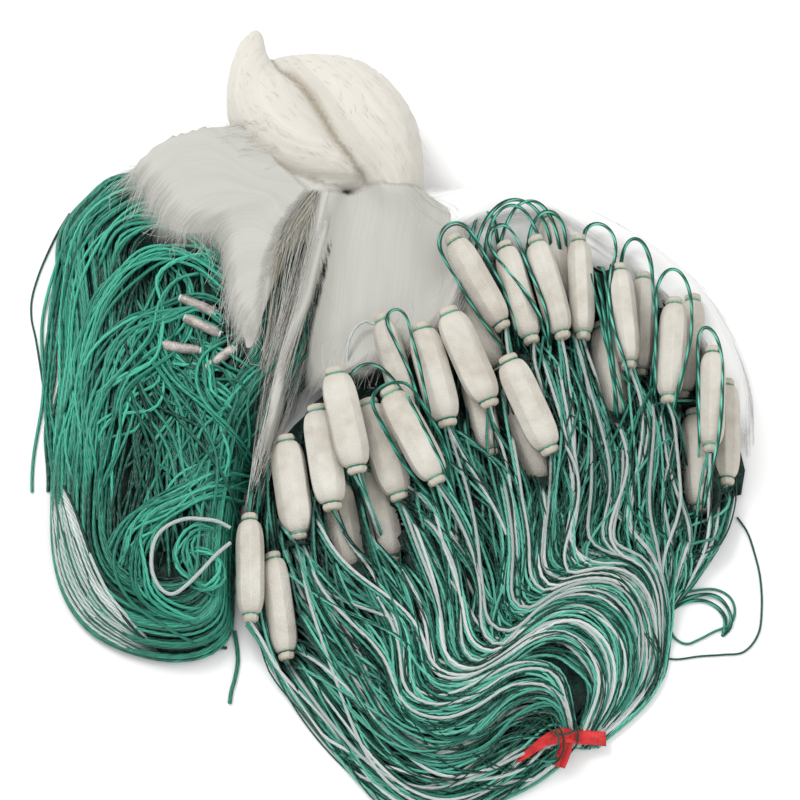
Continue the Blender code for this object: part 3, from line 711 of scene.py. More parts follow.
thrown = []
for route, count, spread, lift, least in LEAD_THROWN:
    base = smooth_run(route, ROUTE_POINTS)
    share = shares_along(base)
    for number in range(count):
        off = lead_rng.normal(0.0, spread * 0.7) + waves(lead_rng, share, spread * 0.55)
        raised = lift + lead_rng.uniform(-1.2, 1.2)
        girth = lead_rng.uniform(least, LEAD_THICKEST)
        thrown.append(lead_line(shifted(base, off), raised, girth, LEAD_SUNK))
middle = (core_start + core_end) / 2
for number in range(LEAD_MESH):
    first = LEAD_MESH_WAYS[number % 4] + lead_rng.normal(0.0, 0.25)
    last = first + math.pi + lead_rng.normal(0.0, 0.25)
    bend = lead_rng.uniform(-LEAD_MESH_BEND, LEAD_MESH_BEND, 2)
    ends = [np.array([math.cos(a), math.sin(a)]) * LEAD_MESH_HALF for a in (first, last)]
    about = middle + lead_rng.uniform(*LEAD_MESH_MIDDLES)
    route = [about + ends[0], about + ends[0] * 0.35 + bend, about + ends[1] * 0.4 - bend,
             about + ends[1]]
    girth = lead_rng.uniform(*LEAD_MESH_GIRTHS)
    # Painted shade: each thin deep line is darkened by a share of its own.
    bright = lead_rng.uniform(0.1, 0.9)
    lift = lead_rng.uniform(*LEAD_MESH_LIFTS)
    run = smooth_run(route, LEAD_MESH_POINTS)
    thrown.append(lead_line(run, lift, girth, LEAD_MESH_SUNK, bright))
cords("lead_line_thrown", thrown, LEAD_RADIUS * MM, 5, green_line, lead_rng)
pale, threads = [], []
base = smooth_run(LEAD_PALE, ROUTE_POINTS)
share = shares_along(base)
bulge = np.sin(share * math.pi) ** 0.7
for number in range(LEAD_PALE_TURNS):
    off = (1.2 + LEAD_PALE_STEP * number) * bulge + 1.0
    if number % 3 == 1:
        threads.append(lead_line(shifted(base, off + waves(lead_rng, share, 1.2)), 1.9, 0.5, 3))
    lift = 1.1 + lead_rng.uniform(-0.2, 0.4)
    pale.append(lead_line(shifted(base, off), lift, LEAD_PALE_GIRTH, LEAD_PALE_SUNK))
cords("lead_line_pale_turns", pale, LEAD_RADIUS * MM, 6, bleached_line, lead_rng)
cords("lead_line_edge_threads", threads, LEAD_RADIUS * MM, 5, dark_twine, lead_rng)

# ---------------------------------------------------------------- sinkers
# Cast lead sleeves threaded on the lead line and crimped, dull and a little dented. A few turns of
# bleached line are knotted against each end to hold them in place.

SINKERS = (
    # x, y, z, turn in degrees from +X, dip
    (-125, 50, 31, -24, 3),
    (-122, 36, 31, -26, 2),
    (-135, 21, 31, -9, 2),
    (-112, 13, 31, 38, -3),
)
SINKER_HALF = 12.0
SINKER_RADIUS = 3.3
SINKER_TURNS = np.arange(20) * 2 * math.pi / 20
SINKER_PROFILE = (
    # share of the half length, share of the radius
    (-1.0, 0.30), (-1.0, 0.60), (-0.97, 0.72), (-0.86, 0.92), (-0.7, 0.99), (-0.4, 1.0),
    (0.0, 0.98), (0.4, 1.0), (0.7, 0.99), (0.86, 0.92), (0.97, 0.72), (1.0, 0.60), (1.0, 0.30),
)
SINKER_KNOT_RADIUS = 1.9
SINKER_KNOT_LINE = 0.6
SINKER_KNOT_POINTS = 22
EDGE_ANGLES = (60, 18)  # degrees past which an edge is sharp, on a round body and on one with flats


def turned(name, axes, profile, half_length, half_wide, half_deep, turns, dents, facets, rng):
    """A body of rings on its own axes, with soft dents and eight flats as deep as facets says. It
    keeps how far each point is from the middle."""
    middle, along, wide, deep = axes
    sides = len(turns)
    phases = rng.uniform(0, 2 * math.pi, 6)
    points = []
    shares = []
    for far, share in profile:
        for angle in turns:
            dent = math.sin(2 * angle + phases[0] + 2 * far)
            dent += math.sin(3 * angle + phases[1] - far)
            dent += math.sin(5 * far + phases[2] + angle) * 0.7
            corner = (angle + math.pi / 8) % (math.pi / 4) - math.pi / 8
            flat = math.cos(math.pi / 8) / math.cos(corner) - 1.0
            grow = 1.0 + dents * dent + facets * (flat + 0.04)
            out = wide * math.cos(angle) * half_wide + deep * math.sin(angle) * half_deep
            points.append(middle + along * half_length * far + out * share * grow)
            shares.append(abs(far))
    faces = []
    for ring in range(len(profile) - 1):
        for side in range(sides):
            after = (side + 1) % sides
            here = ring * sides
            faces.append((here + side, here + after, here + sides + after, here + sides + side))
    last = (len(profile) - 1) * sides
    faces.append(tuple(range(sides - 1, -1, -1)))
    faces.append(tuple(range(last, last + sides)))
    mesh = bpy.data.meshes.new(name)
    mesh.from_pydata(place(points).tolist(), [], faces)
    shape = bmesh.new()
    shape.from_mesh(mesh)
    bmesh.ops.recalc_face_normals(shape, faces=shape.faces)
    shape.to_mesh(mesh)
    shape.free()
    store(mesh, "from_middle", np.array(shares))
    mesh.shade_smooth()
    mesh.set_sharp_from_angle(angle=math.radians(EDGE_ANGLES[facets > 0]))
    return show(name, mesh)


def wound(axes, far, half_wide, half_deep):
    """Two turns of thin line round a body, at distances along it from its middle."""
    middle, along, wide, deep = axes
    turn = np.linspace(0.0, 4 * math.pi, len(far))
    ring = middle + along * far[:, None] + wide * (np.cos(turn) * half_wide)[:, None]
    return place(ring + deep * (np.sin(turn) * half_deep)[:, None])


def lead_finish():
    """Cast lead: grey, half bright on its rubbed parts, dark in its pits."""
    finish = Finish("cast_lead", roughness=0.5, metallic=0.35)
    patches = finish.noise(160.0, 4.0)
    pits = finish.noise(900.0, 3.0)
    colour = finish.ramp(patches, (0.35, (0.20, 0.18, 0.17)), (0.65, (0.50, 0.45, 0.42)))
    return finish.coat({
        "Base Color": colour,
        "Roughness": pits * 0.3 + 0.3,
        "Normal": finish.bump(pits + patches, 0.0005),
    })


cast_lead = lead_finish()
sinker_rng = np.random.default_rng(3)
sinker_knots = []
for number, (x, y, z, turn, dip) in enumerate(SINKERS):
    turn, dip = math.radians(turn), math.radians(dip)
    flat = math.cos(dip)
    along = np.array([math.cos(turn) * flat, math.sin(turn) * flat, -math.sin(dip)])
    across = np.array([-math.sin(turn), math.cos(turn), 0.0])
    axes = (np.array([x, y, z]), along, across, np.cross(along, across))
    piece = turned(
        f"cast_sinker_{number + 1}", axes, SINKER_PROFILE, SINKER_HALF, SINKER_RADIUS,
        SINKER_RADIUS, SINKER_TURNS, 0.02, 0.0, sinker_rng,
    )
    piece.data.materials.append(cast_lead)
    dress(piece, f"sinker_{number + 1}")
    for end in (-1, 1):
        far = end * SINKER_HALF + np.linspace(-0.6, 0.9, SINKER_KNOT_POINTS)
        sinker_knots.append(wound(axes, far, SINKER_KNOT_RADIUS, SINKER_KNOT_RADIUS))
line_radius = SINKER_KNOT_LINE * MM
cords("sinker_knots", sinker_knots, line_radius, 5, bleached_line, sinker_rng)

# ---------------------------------------------------------------- floats
# Closed-cell foam floats on the float line: barrels that draw in to a groove at each end, where
# twine is lashed round them, with a small button past it.

FLOATS = (
    # x, y, z, turn from -Y towards +X, dip of the lower end, roll
    (-91, -124, 25, 1, 8, 70), (-73, -145, 15, 8, 8, 60), (-66, -71, 25, 8, 8, 20),
    (-46, -55, 35, 9, 8, 0), (-33, -37, 50, 13, 12, -5), (-10, -47, 29, 18, 8, -10),
    (8, -45, 45, 28, 10, -10), (-3, 6, 36, 15, 8, 80), (21, -2, 41, 15, 10, 0),
    (42, 7, 47, 24, 12, -10), (79, -21, 38, 24, 10, 10), (46, 41, 18, 31, 8, 20),
    (48, 61, 41, 29, 10, 60), (73, 55, 39, 15, 8, 70), (92, 56, 44, 15, 10, 75),
    (98, 84, 22, 9, 8, 70), (112, 60, 36, 2, 8, 90), (138, 39, 38, 5, 8, 80),
    (150, 42, 20, -2, 8, 80), (129, 11, 15, 8, 8, 40), (167, 15, 40, -4, 8, 70),
    (178, 27, 20, -7, 8, 60), (191, -17, 37, -2, 8, 80), (201, -29, 15, -1, 8, 80),
    (182, -48, 14, 2, 5, 60), (79, -33, 17, 20, 8, 20), (49, -15, 24, 13, 8, 70),
    (-35, -90, 13, 11, 6, 0), (-12, -82, 11, 11, 4, 0),
)
FLOAT_NODES = [f"float_{number + 1:02d}" for number in range(len(FLOATS))]
FLOAT_HALF = 34.0
FLOAT_WIDE = 10.8
FLOAT_DEEP = 8.2
FLOAT_TURNS = (np.arange(8)[:, None] * 45.0 + (-20.0, 0.0, 20.0)).ravel() * math.pi / 180
FLOAT_HALF_PROFILE = (
    # from the middle, share of the full section
    (0.12, 1.0), (0.3, 1.0), (0.45, 0.99), (0.56, 0.965), (0.65, 0.92), (0.72, 0.865),
    (0.78, 0.79), (0.825, 0.69), (0.85, 0.58), (0.862, 0.50), (0.875, 0.495), (0.89, 0.54),
    (0.91, 0.575), (0.94, 0.57), (0.97, 0.54), (0.99, 0.48), (1.0, 0.40), (1.0, 0.18),
    (0.96, 0.14),
)
FLOAT_PROFILE = tuple((-far, share) for far, share in reversed(FLOAT_HALF_PROFILE))
FLOAT_PROFILE += FLOAT_HALF_PROFILE


def float_axes(row):
    """A float's middle, its long way and its wide and deep ways."""
    turn, dip, roll = (math.radians(angle) for angle in row[3:])
    flat = math.cos(dip)
    along = np.array([math.sin(turn) * flat, -math.cos(turn) * flat, -math.sin(dip)])
    across = np.array([math.cos(turn), math.sin(turn), 0.0])
    rise = np.cross(along, across)
    rise *= math.copysign(1.0, rise[2])
    wide = across * math.cos(roll) + rise * math.sin(roll)
    deep = rise * math.cos(roll) - across * math.sin(roll)
    return np.array(row[:3], dtype=float), along, wide, deep, across, rise


def foam_finish():
    """Off-white foam: fine cells, faint mottling, rubbed and a little soiled at the ends."""
    finish = Finish("float_foam", roughness=0.62, specular_ior_level=0.3)
    cells = finish.node(
        "ShaderNodeTexVoronoi", {"feature": "F1"}, {"Vector": finish.place(), "Scale": 1500.0}
    )
    mottle = finish.noise(110.0, 4.0)
    broad = finish.noise(26.0, 2.0)
    clean = finish.ramp(
        mottle * 0.45 + broad * 0.55,
        (0.34, (0.47, 0.43, 0.37)),
        (0.5, (0.56, 0.53, 0.47)),
        (0.66, (0.61, 0.59, 0.53)),
    )
    soil = finish.eased(finish.own("from_middle") + mottle * 0.25, 0.75, 1.15, most=0.55)
    return finish.coat({
        "Base Color": finish.blend(soil, clean, (0.42, 0.36, 0.27)),
        "Roughness": mottle * 0.2 + 0.5,
        "Normal": finish.bump(cells * 0.5 + mottle, 0.0006),
    })


float_foam = foam_finish()
float_rng = np.random.default_rng(5)
for node, row in zip(FLOAT_NODES, FLOATS):
    piece = turned(
        f"foam_{node}", float_axes(row)[:4], FLOAT_PROFILE, FLOAT_HALF, FLOAT_WIDE, FLOAT_DEEP,
        FLOAT_TURNS, 0.006, 0.85, float_rng,
    )
    piece.data.materials.append(float_foam)
    dress(piece, node)

# ---------------------------------------------------------------- float line hank
# White cord, mint twine and thin dark twine run together from the floats down to the tie, in
# turns that sweep round a hollow just above it.

FAN_GUIDES = (
    # the way the line runs from behind the floats to the tie: one row for each part of the fan,
    # and in it the same stages, down to the foot of the bend, up over its crest and round
    ((-88, -52), (-94, -107), (-84, -169), (-52, -220), (-17, -259), (19, -277), (48, -270),
     (66, -262), (80, -254), (89, -247), (97, -240), (101, -233)),
    ((-81, -45), (-86, -100), (-74, -159), (-41, -210), (-9, -247), (22, -261), (50, -254),
     (66, -243), (80, -234), (89, -231), (97, -230), (102, -232)),
    ((-73, -39), (-77, -93), (-63, -149), (-31, -196), (-4, -231), (22, -244), (48, -237),
     (65, -220), (82, -213), (92, -215), (99, -220), (103, -232)),
    ((-64, -32), (-66, -85), (-50, -140), (-15, -184), (0, -218), (24, -228), (46, -220),
     (65, -205), (84, -201), (95, -206), (100, -214), (104, -232)),
    ((-55, -25), (-53, -74), (-34, -125), (-2, -170), (6, -205), (25, -215), (46, -208),
     (65, -194), (84, -189), (96, -195), (100, -208), (105, -232)),
    ((-40, -18), (-36, -65), (-16, -112), (10, -159), (16, -196), (35, -204), (57, -194),
     (76, -181), (97, -178), (113, -190), (117, -206), (107, -232)),
    ((-22, -8), (-15, -52), (5, -100), (25, -147), (31, -182), (47, -192), (66, -181),
     (83, -169), (104, -166), (122, -182), (125, -205), (109, -231)),
    ((0, 6), (9, -41), (29, -88), (43, -134), (47, -169), (60, -179), (74, -166),
     (91, -156), (113, -156), (131, -173), (132, -199), (110, -231)),
    ((22, 26), (34, -25), (52, -75), (63, -121), (64, -152), (73, -162), (86, -153),
     (102, -146), (123, -148), (140, -167), (138, -197), (112, -231)),
    ((48, 57), (62, -1), (76, -52), (81, -100), (80, -133), (89, -143), (99, -139),
     (115, -136), (133, -140), (147, -159), (144, -193), (113, -230)),
    ((71, 74), (87, 13), (99, -39), (102, -83), (97, -117), (106, -129), (115, -129),
     (128, -127), (143, -134), (153, -154), (149, -188), (114, -230)),
    ((96, 78), (112, 23), (124, -28), (126, -73), (119, -106), (126, -118), (134, -121),
     (143, -123), (152, -133), (156, -154), (152, -186), (115, -230)),
    ((124, 71), (136, 23), (148, -21), (149, -62), (143, -97), (147, -112), (152, -122),
     (156, -132), (159, -144), (159, -160), (154, -187), (117, -230)),
    ((174, 50), (176, 6), (176, -32), (174, -66), (172, -93), (167, -112), (163, -126),
     (161, -140), (161, -153), (159, -169), (153, -191), (118, -229)),
    ((200, 16), (203, -21), (205, -56), (202, -80), (196, -100), (187, -115), (177, -129),
     (166, -141), (162, -155), (159, -173), (152, -196), (119, -229)),
)
FAN_STEPS = 8  # rows from one stage to the next
FAN_BETWEEN = 12  # columns from one guide to the next
FAN_EASING = 4  # rounds that ease the bends of the ways
FAN_SPACING = 6.0
FAN_INSET = 5.0
# Heights over the solid below which a fan line is painted dark as shade, and above which it is
# fully lit.
FAN_PAINTED_SHADE_HEIGHTS = (-1.8, 2.4)
FAN_WAVER = 0.5
FAN_GIRTHS = (0.72, 1.2)
FAN_APART = 1.9  # of the mint twine from the white cord beside it
FAN_HOLLOW = (4.15 / 14, 4.85 / 14)  # shares across the fan, between which the hollow lies
FAN_PARTING = (0.45, 0.74)  # shares down the fan, over which the lines part round the hollow
WHITE_RADIUS = 1.1
MINT_RADIUS = 0.95
DARK_RADIUS = 0.5
DEEP_DARK = 1.4  # deep down, the dark twine lies as high as twine this much thicker
FLOAT_COVER = 10.0  # how far below a float's top the line passes
BARE_BELOW = 3.0 * MM  # under this height no float stands over a point
NO_LIMIT = 1.0
FAN_DEEP = 280  # lines that fill the depth
FAN_DEEP_SHARES = (0.62, 0.32, 0.06)  # of them: mint, dark and white
FAN_BUNDLES = 110
FAN_SHADED = (-170.0, -60.0)  # over this, the line runs up into the shade of the floats
FAN_SHADE = (1.0, 0.72)
FAN_POINTS = 110  # on a way down the fan, before its points are spaced
FAN_FREE = 7  # points of a line from a float's end that other floats don't press down
FAN_HEAD = 5.0  # points over which a line comes up from its start
FAN_CHANCES = (0.12, 0.95, 0.85)  # of white cord, mint twine and dark twine in each bundle


def soften(values):
    """Draws each row of values towards the rows beside it; the first and the last stay."""
    values[1:-1] = (values[:-2] + 2 * values[1:-1] + values[2:]) / 4


fan = np.array([through(guide, FAN_STEPS) for guide in FAN_GUIDES])
fan = np.array([through(fan[:, row], FAN_BETWEEN) for row in range(fan.shape[1])])
for _ in range(FAN_EASING):
    soften(fan)
    soften(fan.swapaxes(0, 1))


def on_fan(down, across):
    """Layout points at shares down the fan and across it."""
    rows = np.clip(down, 0.0, 1.0) * (fan.shape[0] - LAST_CELL)
    columns = np.clip(across, 0.0, 1.0) * (fan.shape[1] - LAST_CELL)
    return between(fan, rows, columns)


def parted(across, middle):
    """Shares across the fan below its parting, where a line keeps to one side of the hollow."""
    centre = sum(FAN_HOLLOW) / 2
    if middle < centre:
        return np.minimum(across * FAN_HOLLOW[0] / centre, FAN_HOLLOW[0])
    kept = 1.0 - (1.0 - across) * (1.0 - FAN_HOLLOW[1]) / (1.0 - centre)
    return np.maximum(kept, FAN_HOLLOW[1])


def fan_route(start, middle, wander, head=None):
    """A way down the fan from a share of its length."""
    down = np.linspace(start, 1.0, FAN_POINTS)
    loose = 0.3 + 0.7 * np.clip(1.0 - down * 2.0, 0.0, 1.0)
    if head is not None:
        loose = loose * np.clip((down - start) * 6.0, 0.0, 1.0)
    across = middle + waves(fan_rng, down, wander, 0.4, 2.4) * loose
    part = eased((down - FAN_PARTING[0]) / (FAN_PARTING[1] - FAN_PARTING[0]))
    across = parted(across, middle) * part + across * (1 - part)
    spots = on_fan(down, np.clip(across, 0.003, 0.997))
    if head is not None:
        spots = np.vstack([[head], spots[3:]])
    return respaced(level(spots), FAN_SPACING)


def fan_line(spots, lift, radius, girth=1.0, start=None, sink=7.0):
    """One line of the fan over layout points: it starts at a height, or sunk among the rest, and
    passes under the floats, with shade painted on it for its depth and under the floats."""
    spots = place(spots)
    line = laid(spots, fan_top, (lift + radius * girth) * MM)
    line[:, 2] += waves(fan_rng, shares_along(line), FAN_WAVER * MM, 1.0, 5.0)
    covered = floats_top.at(line)
    most = np.where(covered > BARE_BELOW, covered - FLOAT_COVER * MM, NO_LIMIT)
    if start is not None:
        most[:FAN_FREE] = NO_LIMIT
    for _ in range(3):
        line[:, 2] = np.minimum(line[:, 2], most)
        soften(line[:, 2])
    line[:, 2] = np.maximum(line[:, 2], radius * girth * MM)
    fade = np.clip(1.0 - np.arange(len(line)) / FAN_HEAD, 0.0, 1.0)
    if start is not None:
        line[:, 2] = line[:, 2] * (1 - fade) + start * MM * fade
    else:
        line[:, 2] = np.maximum(line[:, 2] - sink * MM * fade, radius * MM)
    # Painted shade: darker where the line lies deep in the fan and up in the shade of the floats.
    out = painted_light_by_depth(line, fan_top, FAN_PAINTED_SHADE_HEIGHTS)
    out *= np.interp(line[:, 1], place([(0, y, 0) for y in FAN_SHADED])[:, 1], FAN_SHADE)
    return np.column_stack([line, np.full(len(line), girth), out])


# Deep turns of the float line, in painted shade.
shaded_deep_mint = shaded_deep_finish("painted_shade_float_line", (0.0008, 0.010, 0.007), (0.004, 0.05, 0.035))
underlayer("float_line_deep_turns", "float_line_hank", FAN_INSET * MM, shaded_deep_mint)
fan_top = Top("float_line_hank", "netting")
floats_top = Top(*FLOAT_NODES)
fan_rng = np.random.default_rng(19)
fan_lines = {"white": [], "mint": [], "dark": []}


def add_bundle(spots, lift, chances, start=None):
    """White cord, mint twine and dark twine that run side by side."""
    share = shares_along(spots)
    girth = fan_rng.uniform(*FAN_GIRTHS)
    spots = shifted(spots, waves(fan_rng, share, 2.2, 0.5, 2.5) * np.sin(share * math.pi))
    if fan_rng.random() < chances[0]:
        fan_lines["white"].append(fan_line(spots, lift + 0.8, WHITE_RADIUS, girth, start))
    if fan_rng.random() < chances[1]:
        off = fan_rng.choice([-1.0, 1.0]) * FAN_APART + waves(fan_rng, share, 0.8)
        fan_lines["mint"].append(fan_line(shifted(spots, off), lift, MINT_RADIUS, girth, start))
    if fan_rng.random() < chances[2]:
        off = waves(fan_rng, share, 2.6, 1.0, 4.0)
        dark = fan_line(shifted(spots, off), lift + 1.4, DARK_RADIUS, girth, start)
        fan_lines["dark"].append(dark)


radii = {"white": WHITE_RADIUS, "mint": MINT_RADIUS, "dark": DARK_RADIUS * DEEP_DARK}
for number in range(FAN_DEEP):
    middle = (number + fan_rng.random()) / FAN_DEEP
    spots = fan_route(fan_rng.uniform(0.0, 0.15), middle, 0.11)
    kind = fan_rng.choice(["mint", "dark", "white"], p=FAN_DEEP_SHARES)
    fan_lines[kind].append(fan_line(spots, fan_rng.uniform(-2.6, -0.2), radii[kind], sink=2.0))
for number in range(FAN_BUNDLES):
    middle = (number + fan_rng.random()) / FAN_BUNDLES
    spots = fan_route(fan_rng.uniform(0.0, 0.1), middle, 0.1)
    add_bundle(spots, fan_rng.uniform(-1.2, 2.2), FAN_CHANCES)

FAN_CROSSED = (
    # routes of dark twine that lie over the fan
    ((-1, -174), (5, -207), (19, -226), (38, -243), (59, -252), (76, -247), (94, -234)),
    ((-30, -209), (-9, -241), (19, -254), (50, -261), (74, -253), (95, -234)),
    ((-17, -185), (-1, -218), (25, -248), (53, -254), (72, -243), (93, -231)),
    ((-43, -215), (-30, -246), (-9, -272), (16, -279), (43, -274), (66, -260), (92, -237)),
    ((-62, -174), (-38, -215), (-10, -248), (20, -262), (45, -251), (63, -233), (90, -227)),
    ((99, -106), (115, -140), (131, -147), (149, -164), (154, -181), (144, -203), (124, -220)),
    ((50, -92), (62, -133), (81, -147), (112, -140), (140, -147), (155, -174), (146, -205),
     (124, -224)),
)
for route in FAN_CROSSED:
    for number in range(2):
        run = smooth_run(route, ROUTE_POINTS)
        run = shifted(run, waves(fan_rng, shares_along(run), 2.5))
        run = respaced(level(run), FAN_SPACING)
        fan_lines["dark"].append(fan_line(run, 2.6, DARK_RADIUS, 1.1))

FLOAT_END_CHANCES = (
    # the same in each bundle that leaves a float's lower end
    (1.0, 0.6, 0.5), (0.12, 0.9, 0.6), (0.0, 0.8, 0.9),
)
for row in FLOATS:
    middle, along = float_axes(row)[:2]
    head = middle + along * FLOAT_HALF * 0.97
    gaps = np.linalg.norm(fan - head[:2], axis=2)
    nearest = np.unravel_index(gaps.argmin(), gaps.shape)
    start, column = nearest[0] / (fan.shape[0] - 1), nearest[1] / (fan.shape[1] - 1)
    for chances in FLOAT_END_CHANCES:
        spots = fan_route(start, column, 0.05, head[:2] + fan_rng.uniform(-1.5, 1.5, 2))
        add_bundle(spots, fan_rng.uniform(0.6, 2.2), chances, head[2])
for kind, radius, sides, finish in (
    ("white", WHITE_RADIUS, 6, white_laid), ("mint", MINT_RADIUS, 5, mint_twine),
    ("dark", DARK_RADIUS, 4, dark_twine),
):
    cords(f"float_line_{kind}", fan_lines[kind], radius * MM, sides, finish, fan_rng)

# ---------------------------------------------------------------- float lashings and loops
# Thin twine is lashed in each float's grooves, and a pair of mint and dark lines runs up a
# float's side, arches over its upper end and comes down the other side.

LASHING_FAR = 0.868  # of the float's half length, where the groove is
LASHING_POINTS = 20
LASHING_RADIUS = 0.4
LASHING_CLEAR = 0.35  # how far the twine's middle stands off the groove
LOOP_LEAST_HEIGHT = 33.0  # of the floats that carry loops of their own
LOOP_CROWDED = (26.0, 3.0)  # a float this near another, and this far below it, carries none
LOOP_RADII = (0.8, 0.6, 0.9)  # mint, dark and white
LOOP_SPACING = 3.0
LOOP_SINK = 14.0  # how far a loop's ends go down among the lines
LOOP_TAIL = 14.0  # how far they run on past the float's lower end
LOOP_ROUTES = (
    # x, y, z of the loops that stand clear of the floats' upper ends
    ((91, 24, 45), (81, 45, 50), (62, 72, 48), (55, 90, 38), (57, 101, 36), (64, 104, 38),
     (71, 92, 46), (79, 66, 50), (90, 38, 50), (92, 21, 45)),
    ((114, 87, 40), (115, 102, 34), (123, 107, 34), (131, 100, 36), (134, 84, 40),
     (129, 58, 44), (131, 28, 46), (141, -5, 44)),
    ((157, -16, 36), (157, 14, 44), (158, 40, 46), (159, 57, 40), (166, 73, 38), (174, 69, 40),
     (179, 50, 46), (179, 28, 50), (175, 5, 50), (167, -24, 46)),
    ((183, -52, 34), (183, -28, 40), (183, -4, 42), (183, 19, 40), (184, 30, 38), (188, 35, 38),
     (194, 26, 40), (197, 5, 46), (197, -17, 48), (194, -47, 44), (189, -66, 36),
     (185, -80, 30)),
    ((42, 82, 26), (45, 103, 26), (51, 118, 28), (57, 115, 30), (61, 96, 34)),
    ((12, -34, 44), (9, -14, 54), (0, 8, 54), (-6, 24, 51), (-9, 34, 47), (-4, 42, 46),
     (3, 37, 48), (6, 22, 53), (11, 0, 55), (15, -20, 53), (20, -42, 44)),
    ((-33, -14, 30), (-31, -2, 36), (-22, 8, 38), (-12, 4, 40), (0, -14, 42), (12, -38, 42),
     (24, -62, 42), (32, -79, 38), (38, -96, 30)),
    ((46, 82, 30), (50, 100, 36), (57, 112, 38), (69, 121, 38), (82, 117, 38), (92, 100, 36),
     (94, 82, 30)),
    ((60, 84, 30), (65, 100, 36), (72, 115, 38), (82, 121, 38), (92, 112, 38), (98, 95, 36),
     (100, 78, 30)),
    ((52, 76, 30), (55, 98, 38), (64, 115, 40), (76, 114, 40), (84, 98, 40), (88, 78, 34)),
    ((78, 84, 32), (84, 108, 38), (94, 113, 40), (102, 102, 38), (103, 82, 30)),
    ((158, -145.5, 3), (167, -137.5, 3), (180, -133, 2.5), (193.5, -131, 2), (200, -142, 2),
     (203, -154, 2), (196, -158, 2)),
    ((157, -150, 2), (170, -138, 1.5), (186, -135, 1.5), (199, -146, 1.5), (196, -159, 1.2)),
    ((136, 74, 32), (141, 95, 32), (149, 95, 36), (155, 76, 40), (156, 48, 44), (157, 20, 44),
     (154, -6, 36)),
    ((119, 80, 30), (122, 66, 38), (125, 46, 42), (127, 24, 42), (130, 0, 40), (134, -26, 34)),
    ((123, 84, 30), (126, 70, 38), (128, 50, 42), (129, 26, 42), (131, 2, 40), (132, -24, 34)),
    ((116, 76, 28), (119, 60, 36), (123, 40, 40), (127, 18, 40), (133, -6, 38), (140, -30, 32)),
)
all_top = Top("netting", "lead_line_hank", "float_line_hank", *FLOAT_NODES)
loop_rng = np.random.default_rng(23)
lashings, mint_loops, dark_loops = [], [], []


def sprung(points, lift):
    """A springy line through layout points that nothing below it may reach."""
    line = place(respaced(smooth_run(points, ROUTE_POINTS), LOOP_SPACING))
    for _ in range(10):
        soften(line)
    low = all_top.at(line) + lift * MM
    line[:, 2] = np.maximum(line[:, 2], low)
    for _ in range(8):
        soften(line[:, 2])
        line[:, 2] = np.maximum(line[:, 2], low)
    line[:, 2] = np.maximum(line[:, 2] - near_ends(line, 4.0) * LOOP_SINK * MM, 0.8 * MM)
    return line


def twined(route, sway):
    """A mint line and a dark one that wind loosely round each other along a route."""
    run = smooth_run(route, ROUTE_POINTS)
    share = shares_along(run)
    mint_loops.append(sprung(shifted(run, waves(loop_rng, share, 0.5)), 0.8))
    dark_loops.append(sprung(shifted(run, 0.9 + waves(loop_rng, share, sway, 2.0, 7.0)), 1.0))


for row in FLOATS:
    middle, along, wide, deep, across, rise = float_axes(row)
    for end in (-1, 1):
        far = end * LASHING_FAR * FLOAT_HALF + np.linspace(-0.5, 0.5, LASHING_POINTS)
        half_wide, half_deep = (half * 0.5 + LASHING_CLEAR for half in (FLOAT_WIDE, FLOAT_DEEP))
        lashings.append(wound((middle, along, wide, deep), far, half_wide, half_deep))
    roll = math.radians(row[5])
    half_across = math.hypot(FLOAT_WIDE * math.cos(roll), FLOAT_DEEP * math.sin(roll)) + 0.8
    half_rise = math.hypot(FLOAT_WIDE * math.sin(roll), FLOAT_DEEP * math.cos(roll))
    crowded = any(
        math.dist(other[:2], row[:2]) < LOOP_CROWDED[0] and other[2] > row[2] + LOOP_CROWDED[1]
        for other in FLOATS
    )
    if loop_rng.choice([0, 1, 1]) and row[2] > LOOP_LEAST_HEIGHT and not crowded:
        left, right = loop_rng.uniform(1.05, 1.3, 2) * half_across
        reach = loop_rng.uniform(2.0, 10.0)
        lean = loop_rng.uniform(-4.0, 4.0)
        top_end = middle - along * FLOAT_HALF * 0.9 + rise * 2.0
        arch = [
            top_end - along * (reach + 3.0) * math.sin(step) + across * lean * math.sin(step)
            + across * (math.cos(step) * (left + right) / 2 + (left - right) / 2)
            for step in np.linspace(0.0, math.pi, 7)
        ]
        low_end = middle + along * FLOAT_HALF * loop_rng.uniform(0.95, 1.15) - rise * 4.0
        tail_end = low_end + along * LOOP_TAIL - rise * 6.0
        up, down = (
            [
                tail_end + across * out * 0.3,
                low_end + across * out * 0.6,
                middle + along * 14 + across * out + rise * half_rise * 0.5,
                middle - along * 10 + across * out + rise * half_rise * 0.5,
            ]
            for out in (left, -right)
        )
        twined([*up, *arch, *reversed(down)], 0.7)
for route in LOOP_ROUTES:
    twined(route, 0.9)
WHITE_LOOP = (
    (-30, -6, 20), (-33, 10, 30), (-32, 26, 32), (-26, 38, 33), (-19, 40, 33), (-13, 34, 28),
)
cords("float_lashings", lashings, LASHING_RADIUS * MM, 4, mint_twine, loop_rng)
two_tone = line_finish(
    "mint_twine_with_dark_thread", (0.02, 0.26, 0.19), (0.16, 0.58, 0.45), 0.45, 0.016, 1.0,
    (0.02, 0.14, 0.11), 0.2,
)
mint_radius, dark_radius, white_radius = (radius * MM for radius in LOOP_RADII)
cords("float_loops_mint", mint_loops, mint_radius, 5, two_tone, loop_rng)
cords("float_loops_dark", dark_loops, dark_radius, 5, dark_twine, loop_rng)
white_loop = [sprung(WHITE_LOOP, 1.0)]
cords("float_loop_white", white_loop, white_radius, 6, white_laid, loop_rng)

# ---------------------------------------------------------------- tie
# A red woven ribbon lies over the gathered float line, with one end hanging down over it. Turns of
# dark twine bind the ribbon and the line together.

